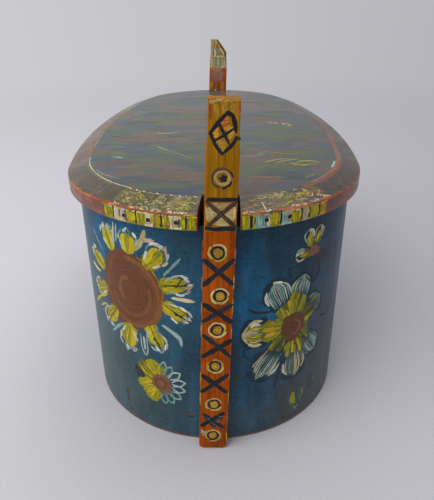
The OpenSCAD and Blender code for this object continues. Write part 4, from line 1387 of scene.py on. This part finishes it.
def paint_near_border(work):
    """Olive blocks under tight scribbles of tan, cream and yellow on the slope beside the near
    post, with dabs of pale paint along the panel, and pale dabs along the rim that are worn paint
    and a painted highlight on its arris."""
    pick = work.chance

    def at(along, out):
        return tuple(on_oval(along, out)[0].xy)

    def scribble(colours, along, out, size, count, coat=0.08):
        """Short curls of many colours between two places along and out. Size is their length
        and width."""
        for _ in range(count):
            x, y = pick.uniform(*along), pick.uniform(*out)
            reach, bend = size[0] / 2 * pick.uniform(0.6, 1.3), pick.uniform(-1.2, 1.2)
            turn = pick.uniform(-1.0, 1.0)
            work.line(pick.choice(colours),
                      [at(x - reach, y - turn), at(x, y + bend), at(x + reach, y + turn)],
                      size[1] * pick.uniform(0.7, 1.4), coat, (0.3, 0.3))

    place = 9.0
    while place < 50.0:
        wide = pick.uniform(3.2, 5.2)
        x, lean = -place - wide / 2, pick.uniform(-0.8, 0.8)
        work.line("dull_olive", [at(x + lean, pick.uniform(2.4, 3.6)), at(x, -1.5),
                                 at(x - lean, pick.uniform(-6.8, -5.6))],
                  wide * 1.15, 0.04, (0.15, 0.15), 0.7, 3)
        work.line("cream", [at(x + wide / 2, -7.2), at(x + 0.4, -7.6)], 0.7, 0.1, (0.3, 0.3))
        work.line("dull_white", [at(x, -6.9), at(x - wide / 2, -7.3)], 0.6, 0.1, (0.3, 0.3))
        if pick.random() < 0.7:
            work.line(pick.choice(("violet", "umber", "mauve")),
                      [at(x - wide / 2, pick.uniform(0.5, 2.6)),
                       at(x - wide / 2 - lean, pick.uniform(-6.0, -3.0))],
                      pick.uniform(0.4, 0.8), 0.07, (0.3, 0.3))
        place += wide + pick.uniform(0.0, 0.6)
    for colours, along, out, size, count, coat in (
        (("dull_yellow", "buff", "dull_white", "olive"), (-52, -9), (-6.4, 3.2), (2.8, 0.7), 90,
         0.08),
        (("buff", "dull_white", "cream", "violet", "mauve"), (-53, -9), (-5.6, 3.6), (2.4, 0.5),
         60, 0.12),
        (("yellow", "leaf", "dull_yellow"), (-47, -38), (-5.0, -1.0), (2.6, 0.7), 10, 0.12),
        (("yellow", "leaf", "dull_yellow"), (-19, -11), (-4.6, 2.0), (2.6, 0.7), 12, 0.12),
        (("dull_olive", "dull_red", "dull_olive", "mauve"), (13, 44), (-5.5, 4.0), (5.0, 1.4),
         60, 0.05),
        (("dull_yellow", "dull_white", "dull_red", "buff"), (14, 36), (-1.0, 3.4), (3.6, 0.5),
         26, 0.08),
        (("buff", "dull_yellow", "dull_white"), (20, 42), (-6.6, -3.4), (3.2, 0.6), 26, 0.1),
        (("yellow", "leaf", "dull_yellow", "buff"), (38, 54), (-4.6, 1.8), (2.8, 0.7), 26, 0.1),
        (("mauve", "buff", "dull_red"), (46, 62), (-6.0, 3.0), (3.2, 0.8), 30, 0.08),
    ):
        scribble(colours, along, out, size, count, coat)
    for k in range(2):
        points = [at(23.0 + 2.6 * i, -4.4 - 1.6 * k + (0.7 if i % 2 else -0.7)) for i in range(7)]
        work.line(("cream", "dull_white")[k], points, 0.45, 0.1, (0.1, 0.1))
    work.line("cream", [at(24.4, 4.4), at(24.3, -1.8)], 0.8, 0.12, (0.3, 0.3))
    work.line("yellow", [at(36.0, 1.6), at(40.5, 1.2)], 0.8, 0.12, (0.3, 0.3))
    # Pale dabs along the rim's arris: worn paint and a painted highlight.
    for along in ((-54.0, -9.0), (14.0, 62.0)):
        scribble(("cream", "cream", "buff", "white", "ember"), along, (3.9, 5.2), (2.6, 0.6), 26,
                 0.1)


# Lines round the lid's panel: colour, millimetres out from the wall, width, from and to along.
# The cream and the pale line at the near left are a painted highlight on the panel's rounded edge.
PANEL_LINES = [
    ("cream", -7.7, 0.55, -124, -50), ("dull_white", -6.5, 0.4, -112, -66),
    ("mauve", -6.6, 2.4, 56, 230), ("dull_red", -8.0, 1.6, 62, 150),
    ("ember", -7.4, 0.8, 64, 112), ("mint", -9.8, 1.3, 96, 110),
    ("mauve", -6.0, 2.2, -250, -132), ("dull_white", -7.6, 0.8, -240, -150),
    ("dull_olive", -7.2, 1.2, 250, 390), ("dull_white", -7.2, 1.0, -400, -262),
]


def paint_panel_line(work):
    """The brushed line where the panel meets the slope."""
    for colour, out, width, first, last in PANEL_LINES:
        count = max(4, round((last - first) / 14))
        points = [tuple(on_oval(first + (last - first) * i / count, out)[0].xy)
                  for i in range(count + 1)]
        for i in range(0, count - 1, 4):
            run = points[i : i + 6]
            if len(run) > 1:
                work.line(colour, run, width, 0.1, (0.06, 0.06), 0.6)


# Loose strokes on the lid's panel: colour, places in millimetres across and along, width
LID_STROKES = [
    ("haze", [(-38, -60), (-26, -74), (-10, -92)], 4.6),
    ("dull_white", [(-36, -61), (-26, -74)], 1.6), ("haze", [(-34, -66), (-22, -80)], 1.4),
    ("haze", [(17, -55), (27, -57), (33, -66)], 3.4),
    ("haze", [(18, -86), (28, -84), (33, -74)], 3.2), ("dull_green", [(14, -60), (22, -60)], 2.4),
    ("dull_green", [(-72, -26), (-60, -34), (-46, -40)], 5.0),
    ("dull_olive", [(-70, -32), (-56, -42)], 3.0),
    ("dull_red", [(-62, -102), (-50, -105), (-42, -102)], 5.4),
    ("dull_red", [(-58, -48), (-40, -51), (-20, -50)], 3.4),
    ("dull_red", [(-38, -122), (-24, -130), (-10, -126)], 3.6),
    ("dull_olive", [(-36, -118), (-22, -116), (-8, -122)], 2.4),
    ("leaf", [(-30, -126), (-22, -122), (-14, -128)], 1.2),
    ("dull_yellow", [(34, -99), (42, -94), (50, -92)], 2.8),
    ("dull_olive", [(34, -99), (42, -104), (50, -106)], 2.8),
    ("dull_yellow", [(44, -101), (52, -96), (60, -99)], 2.4),
    ("leaf", [(44, -98), (52, -104), (61, -101)], 1.8), ("dull_red", [(36, -99), (42, -99)], 3.2),
    ("dull_olive", [(47, -99), (58, -101)], 3.6), ("blush", [(41, 5), (43, 2)], 1.8),
    ("blush", [(47, 4), (49, 0)], 1.8), ("blush", [(53, 2), (55, -3)], 1.8),
    ("blush", [(58, -1), (60, -7)], 1.8), ("dull_red", [(38, 14), (50, 12), (60, 8)], 4.2),
    ("dull_olive", [(30, 6), (38, 9)], 2.6),
    ("dull_green", [(26, -118), (36, -118), (46, -114)], 1.4),
    ("dull_red", [(12, -124), (24, -126), (34, -125)], 3.0),
    ("mauve", [(26, -131), (34, -131)], 1.6), ("mint", [(-42, -26), (-34, -27), (-24, -25)], 1.4),
    ("dark", [(-42, -8), (-34, -7)], 1.6), ("umber", [(-48, -14), (-40, -15)], 3.4),
    ("haze", [(-18, 48), (-6, 50), (2, 56)], 4.0),
    ("dull_green", [(-56, 44), (-40, 44), (-24, 42)], 3.4),
    ("dull_red", [(-56, 36), (-40, 34), (-24, 34)], 3.0),
    ("haze", [(20, 50), (30, 52), (34, 44)], 3.6),
    ("dull_red", [(14, 84), (28, 86), (40, 84)], 4.0), ("dull_green", [(-18, 0), (-8, 2)], 2.0),
    ("mint", [(-62, -84), (-54, -87)], 1.4),
    ("dull_olive", [(-30, 100), (-8, 108), (16, 104)], 3.0), ("haze", [(-46, 70), (-34, 76)], 1.6),
    ("dull_green", [(-6, -40), (4, -36), (16, -30)], 3.0),
    ("dull_red", [(-10, -10), (6, -14), (18, -12)], 3.2),
    ("dull_olive", [(46, -50), (60, -46), (68, -38)], 3.4), ("haze", [(50, -64), (58, -62)], 1.2),
    ("mauve", [(-30, 14), (-14, 18), (4, 16)], 3.0),
    ("dull_olive", [(40, 40), (52, 44), (60, 40)], 3.0),
    ("dull_red", [(-66, -96), (-56, -94), (-46, -98)], 4.0),
    ("dull_green", [(-70, -60), (-58, -64)], 3.6),
    ("haze", [(-74, 20), (-62, 34), (-52, 46)], 4.0),
    ("dull_olive", [(-72, 4), (-58, 10), (-44, 8)], 4.4),
    ("dull_green", [(-50, -20), (-36, -22), (-24, -18)], 3.0),
    ("umber", [(-30, -36), (-20, -37)], 2.6),
    ("dull_olive", [(34, -76), (48, -80), (60, -76)], 3.4),
    ("dull_green", [(52, -128), (60, -120)], 2.6),
    ("mint", [(-66, -110), (-60, -118), (-50, -126)], 1.2),
    ("dull_red", [(22, 28), (36, 30), (50, 26)], 3.6),
]
BRISTLE = 1.1  # width of one bristle mark of a loose stroke, in millimetres


def paint_lid(lid):
    """The painting on the lid's edge, its border and its panel. A loose stroke is a bundle of
    bristle marks side by side."""
    edge = Brushwork(on_lid_edge, 51)
    paint_lid_edge(edge)
    edge.finish("lid_edge_blocks", "lid")
    above = LID_TOP + 1.1  # the strokes are cast down from here
    surface = cast_on(lid, lambda x, y: Vector((x, y, above)), Vector((0, 0, -1)))
    top = Brushwork(surface, 52)
    paint_near_border(top)
    paint_panel_line(top)
    pick = top.chance
    for colour, points, width in LID_STROKES:
        count = max(1, round(width / BRISTLE))
        for k in range(count):
            aside = width * ((k + 0.5) / count - 0.5)
            slip = pick.uniform(-1.5, 1.5) * width
            top.line(colour, [(x + slip, y + aside + pick.uniform(-0.3, 0.3)) for x, y in points],
                     pick.uniform(0.9, 1.5) * min(1.0, width / 1.4), 0.04, (0.45, 0.45), 0.1)
    top.finish("lid_top_marks", "lid")


# Flowers on the wall: which one, where along and up, size, mirrored or not, turn
WALL_FLOWERS = [
    (sunflower, (-50.5, 98.5), 1.0, 1, 0.0),
    (loop_flower, (-33.6, 39.0), 1.0, 1, 0.0),
    (daisy, (47.0, 74.5), 1.0, 1, 0.0),
    (half_flower, (59.0, 120.4), 0.95, 1, 0.0),
    (leaf_spray, (55.0, 18.0), 1.0, 1, 0.0), (wall_wear, (0.0, 0.0), 1.0, 1, 0.0),
    (daisy, (-157.0, 74.0), 0.96, -1, 0.3),
    (loop_flower, (-136.0, 24.0), 0.8, -1, 0.2),
    (half_flower, (-136.0, 124.0), 0.8, -1, 0.2),
    (loop_flower, (-196.0, 26.0), 0.9, 1, 0.4),
    (half_flower, (-194.0, 124.0), 0.9, 1, -0.3),
    (sunflower, (-238.0, 84.0), 0.9, 1, 0.6),
    (leaf_spray, (-250.0, 20.0), 1.0, -1, 0.0),
    (daisy, (-306.0, 76.0), 0.96, 1, -0.4),
    (loop_flower, (-338.0, 28.0), 0.9, -1, 0.0),
    (sunflower, (-372.0, 92.0), 0.84, -1, 0.2),
    (sunflower, (158.0, 84.0), 0.9, -1, 0.2),
    (loop_flower, (136.0, 24.0), 0.8, 1, 0.3),
    (leaf_spray, (186.0, 18.0), 1.0, 1, 0.2),
    (daisy, (239.0, 92.0), 0.36, 1, 0.0),
    (loop_flower, (239.0, 44.0), 0.7, 1, 0.0),
    (half_flower, (300.0, 126.0), 0.8, 1, 0.0),
    (daisy, (314.0, 72.0), 0.9, 1, 0.5),
    (sunflower, (370.0, 92.0), 0.84, 1, 0.4),
    (loop_flower, (348.0, 26.0), 0.9, 1, 0.2),
]


def paint_wall():
    """The flowers, as one piece for each stretch of the wall."""
    stretches = (("near_left", -100, 0), ("near_right", 0, 100), ("left_flank", -300, -100),
                 ("right_flank", 100, 300), ("far_left", -420, -300), ("far_right", 300, 420))
    for seed, (name, first, last) in enumerate(stretches, 60):
        work = Brushwork(on_wall, seed)
        for flower, centre, scale, flip, turn in WALL_FLOWERS:
            if first <= centre[0] < last:
                flower(work, centre, scale, flip, turn)
        work.finish(name + "_flowers", "box")


def dress_cad_nodes():
    """Gives the solids that stay as they are their real wood."""
    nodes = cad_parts
    woods = {
        "bottom_board": bare_pine("planed_pine_bottom_board", (1, 0.08, 1),
                                  ("#8a6840", "#b3905c", "#c6a573", "#98754a")),
        "bottom_pegs": bare_pine("whittled_pegs", (0.4, 0.4, 1),
                                 ("#7a5a34", "#a58050", "#bb9868", "#8c683e")),
        "near_lap_root": split_root(),
    }
    woods["far_lap_root"] = woods["near_lap_root"]
    woods["near_post_pegs"] = woods["far_post_pegs"] = woods["bottom_pegs"]
    for name, wood in woods.items():
        nodes[name].material_slots[0].material = wood


# ---- stage ----

# The backdrop's painted light: lighter at the left, towards the window, than at the right
BACKDROP_LIT_LEFT, BACKDROP_SHADED_RIGHT = "#cdccd1", "#b4b3b9"
BACKDROP_SPREAD = 0.45  # sideways share of a view at which the backdrop's tone is all one side's
ROOM, ROOM_LIGHT = "#e9ebee", 0.44
FLOOR_REACH, FLOOR_DROP = 40, 0.05  # in metres, and in millimetres below the box
PLAIN_FROM, PLAIN_TO = 0.34, 1.5  # metres away over which the floor turns into the backdrop
# Name, place in metres, size in metres and power in watts
LAMPS = [
    ("left_window", (-1.15, -1.1, 1.7), 1.8, 35.0), ("top_softbox", (0.3, 0.5, 2.2), 2.0, 22.0),
]
LAMPS_AIM = Vector((0, 0, 0.08))

# The photograph's camera: its place in metres, its turns in degrees, and its focal length and
# the photograph's height in pixels
CAMERA_PLACE = (0.00118, -0.38922, 0.24644)
CAMERA_PITCH, CAMERA_YAW, CAMERA_ROLL = 26.9, 0.04, -0.44
FOCAL_PIXELS, PHOTO_PIXELS, SENSOR = 506.53, 500, 36.0


def backdrop_painted_falloff(add, share):
    """The backdrop's tone, painted lighter at the left and darker at the right as the window's
    light falling off.
    """
    return add("MixRGB", {"Fac": share, "Color1": linear(BACKDROP_LIT_LEFT),
                          "Color2": linear(BACKDROP_SHADED_RIGHT)})


def seen_directly(add):
    """1 for the rays of the camera and of glosses, 0 for those that carry light."""
    path = add("LightPath").node
    seen = add("Math", {0: path.outputs["Is Camera Ray"], 1: path.outputs["Is Glossy Ray"]},
               operation="MAXIMUM")
    return add("Math", {0: seen, 1: path.outputs["Is Transmission Ray"]}, operation="MAXIMUM")


def build_floor():
    """A pale cloth floor without an end: near the box it is lit and takes its shadow, and far
    away it turns into the plain tone of the backdrop for what the camera and glosses see. Both
    the cloth and that tone are painted lighter at the left and darker at the right, as painted
    light."""
    bm = bmesh.new()
    bmesh.ops.create_circle(bm, cap_ends=True, segments=64, radius=FLOOR_REACH)
    bmesh.ops.translate(bm, verts=bm.verts, vec=(0, 0, -FLOOR_DROP * MM))
    floor = place_in_scene(bm, "pale_floor")
    material, add = start_material("pale_cotton_backdrop")
    where = add("TexCoord", out="Object")
    weave = streaks(add, where, (1, 1, 1), 1.0, 2.0)
    across = add("SeparateXYZ", {"Vector": where}, out=0)
    away = add("VectorMath", {0: where}, out="Value", operation="LENGTH")
    span = add("Math", {0: away, 1: BACKDROP_SPREAD, 2: 0.12}, operation="MULTIPLY_ADD")
    side = add("Math", {0: across, 1: span}, operation="DIVIDE")
    share = add("MapRange", {0: side, 1: -1.0, 2: 1.0})
    # Painted light: the cloth is lighter at the left and darker at the right.
    tone = backdrop_painted_falloff(add, share)
    thread = add("MapRange", {0: weave, 1: 0.3, 2: 0.7, 3: 0.94, 4: 1.04})
    cloth = add("MixRGB", {"Fac": 1.0, "Color1": tone, "Color2": thread}, blend_type="MULTIPLY")
    bump = add("Bump", {"Height": weave, "Distance": 0.1 * MM, "Strength": 1.0})
    lit = add("BsdfPrincipled", {"Base Color": cloth, "Roughness": 0.9,
                                 "Specular IOR Level": 0.2, "Normal": bump})
    plain = add("Emission", {"Color": tone, "Strength": 1.0})
    far = add("MapRange", {0: away, 1: PLAIN_FROM, 2: PLAIN_TO},
              interpolation_type="SMOOTHSTEP")
    share = add("Math", {0: far, 1: seen_directly(add)}, operation="MULTIPLY")
    surface = add("MixShader", {0: share, 1: lit, 2: plain})
    add("OutputMaterial", {"Surface": surface})
    floor.data.materials.append(material)


def build_lamps():
    """Soft light from a window at the left and from above, and a pale room round the box."""
    for name, place, size, power in LAMPS:
        lamp = bpy.data.lights.new(name, "AREA")
        lamp.shape, lamp.size, lamp.energy = "SQUARE", size, power
        stand = bpy.data.objects.new(name, lamp)
        stand.location = place
        stand.rotation_euler = (LAMPS_AIM - Vector(place)).to_track_quat("-Z", "Y").to_euler()
        bpy.context.scene.collection.objects.link(stand)
    world = bpy.data.worlds.new("soft_room")
    world.use_nodes = True
    world.node_tree.nodes.clear()
    add = node_adder(world.node_tree)
    room = add("Background", {"Color": linear(ROOM), "Strength": ROOM_LIGHT})
    # Painted light: the room, as the camera and glosses see it, is lighter at the left than at the
    # right.
    ahead = add("SeparateXYZ", {"Vector": add("TexCoord")}, out=0)
    share = add("MapRange", {0: ahead, 1: -BACKDROP_SPREAD, 2: BACKDROP_SPREAD})
    plain = add("Background", {"Color": backdrop_painted_falloff(add, share), "Strength": 1.0})
    surface = add("MixShader", {0: seen_directly(add), 1: room, 2: plain})
    add("OutputWorld", {"Surface": surface})
    bpy.context.scene.world = world


def build_camera():
    """The photograph's viewing angle: from above the near end, along the box."""
    pitch, yaw, roll = (math.radians(a) for a in (CAMERA_PITCH, CAMERA_YAW, CAMERA_ROLL))
    ahead = Vector((math.sin(yaw) * math.cos(pitch), math.cos(yaw) * math.cos(pitch),
                    -math.sin(pitch)))
    right = Vector((math.cos(yaw), -math.sin(yaw), 0))
    up = right.cross(ahead)
    turned_right = right * math.cos(roll) + up * math.sin(roll)
    turned_up = up * math.cos(roll) - right * math.sin(roll)
    lens = bpy.data.cameras.new("photo_camera")
    lens.sensor_fit, lens.sensor_width = "AUTO", SENSOR
    lens.lens = FOCAL_PIXELS / PHOTO_PIXELS * SENSOR
    lens.clip_start, lens.clip_end = 0.01, 100.0
    camera = bpy.data.objects.new("photo_camera", lens)
    camera.matrix_world = Matrix.Translation(CAMERA_PLACE) @ Matrix(
        (turned_right, turned_up, -ahead)).transposed().to_4x4()
    bpy.context.scene.collection.objects.link(camera)
    bpy.context.scene.camera = camera
    bpy.context.scene.view_settings.view_transform = "Standard"


# ---- the add-on ----


def colour_choice(name, description, colour):
    return bpy.props.FloatVectorProperty(name=name, description=description, size=3, min=0.0,
                                         max=1.0, subtype="COLOR", default=linear(colour)[:3])


class TineBoxSettings(bpy.types.PropertyGroup):
    skin: bpy.props.FloatProperty(
        name="Ground coat", description="Thickness of the plain coat of paint over the wood",
        default=0.00006, min=0.00002, max=0.0002, precision=5, unit="LENGTH")
    arris: bpy.props.FloatProperty(
        name="Post arris", description="How far the posts' edges are rounded off",
        default=0.0006, min=0.0002, max=0.001, precision=4, unit="LENGTH")
    stroke_thickness: bpy.props.FloatProperty(
        name="Stroke thickness", description="How thickly the flowers and marks are laid on",
        default=1.0, min=0.3, max=1.5, subtype="FACTOR")
    wall_blue: colour_choice("Wall blue", "Ground colour of the bent wall", "#0a5072")
    post_upper: colour_choice("Post ochre", "Upper part of the near post", "#906202")
    post_lower: colour_choice("Post rust", "Lower part of the near post", "#9c4400")
    lid_panel: colour_choice("Lid panel", "Ground colour of the lid's panel", "#30444a")
    lid_border: colour_choice("Lid border", "Ground colour of the lid's slope", "#685b4c")
    lid_edge: colour_choice("Lid edge", "Ground colour of the lid's edge", "#7a4026")


class TINEBOX_OT_band(bpy.types.Operator):
    """Builds the bent side band with its lapped end"""
    bl_idname = "tine_box.band"
    bl_label = "Side band"

    def execute(self, context):
        build_band()
        return {"FINISHED"}


class TINEBOX_OT_lid(bpy.types.Operator):
    """Builds the carved lid board and its painted marks"""
    bl_idname = "tine_box.lid"
    bl_label = "Lid"

    def execute(self, context):
        paint_lid(build_lid())
        return {"FINISHED"}


class TINEBOX_OT_posts(bpy.types.Operator):
    """Builds the two spring posts and their painted marks"""
    bl_idname = "tine_box.posts"
    bl_label = "Posts"

    def execute(self, context):
        build_near_post()
        paint_near_post()
        paint_far_post(build_far_post())
        return {"FINISHED"}


class TINEBOX_OT_flowers(bpy.types.Operator):
    """Paints the flowers round the wall"""
    bl_idname = "tine_box.flowers"
    bl_label = "Wall flowers"

    def execute(self, context):
        paint_wall()
        return {"FINISHED"}


class TINEBOX_OT_woods(bpy.types.Operator):
    """Gives the bottom board, the pegs and the lacing their wood"""
    bl_idname = "tine_box.woods"
    bl_label = "Board, pegs and roots"

    def execute(self, context):
        dress_cad_nodes()
        return {"FINISHED"}


class TINEBOX_OT_stage(bpy.types.Operator):
    """Sets up the floor, the lamps and the camera"""
    bl_idname = "tine_box.stage"
    bl_label = "Stage"

    def execute(self, context):
        build_floor()
        build_lamps()
        build_camera()
        return {"FINISHED"}


OPERATORS = (TINEBOX_OT_band, TINEBOX_OT_lid, TINEBOX_OT_posts, TINEBOX_OT_flowers,
             TINEBOX_OT_woods, TINEBOX_OT_stage)


class TINEBOX_PT_sidebar(bpy.types.Panel):
    """Lists the steps that build the box"""
    bl_idname = "TINEBOX_PT_sidebar"
    bl_label = "Tine Box"
    bl_space_type = "VIEW_3D"
    bl_region_type = "UI"
    bl_category = "Tine Box"

    def draw(self, context):
        for setting in TineBoxSettings.__annotations__:
            self.layout.prop(context.scene.tine_box, setting)
        for step in OPERATORS:
            self.layout.operator(step.bl_idname)


def register():
    for part in (TineBoxSettings, *OPERATORS, TINEBOX_PT_sidebar):
        bpy.utils.register_class(part)
    bpy.types.Scene.tine_box = bpy.props.PointerProperty(type=TineBoxSettings)


def unregister():
    del bpy.types.Scene.tine_box
    for part in (TINEBOX_PT_sidebar, *reversed(OPERATORS), TineBoxSettings):
        bpy.utils.unregister_class(part)


def main():
    register()
    for step in ("band", "lid", "posts", "flowers", "woods", "stage"):
        getattr(bpy.ops.tine_box, step)()


if __name__ == "__main__":
    main()
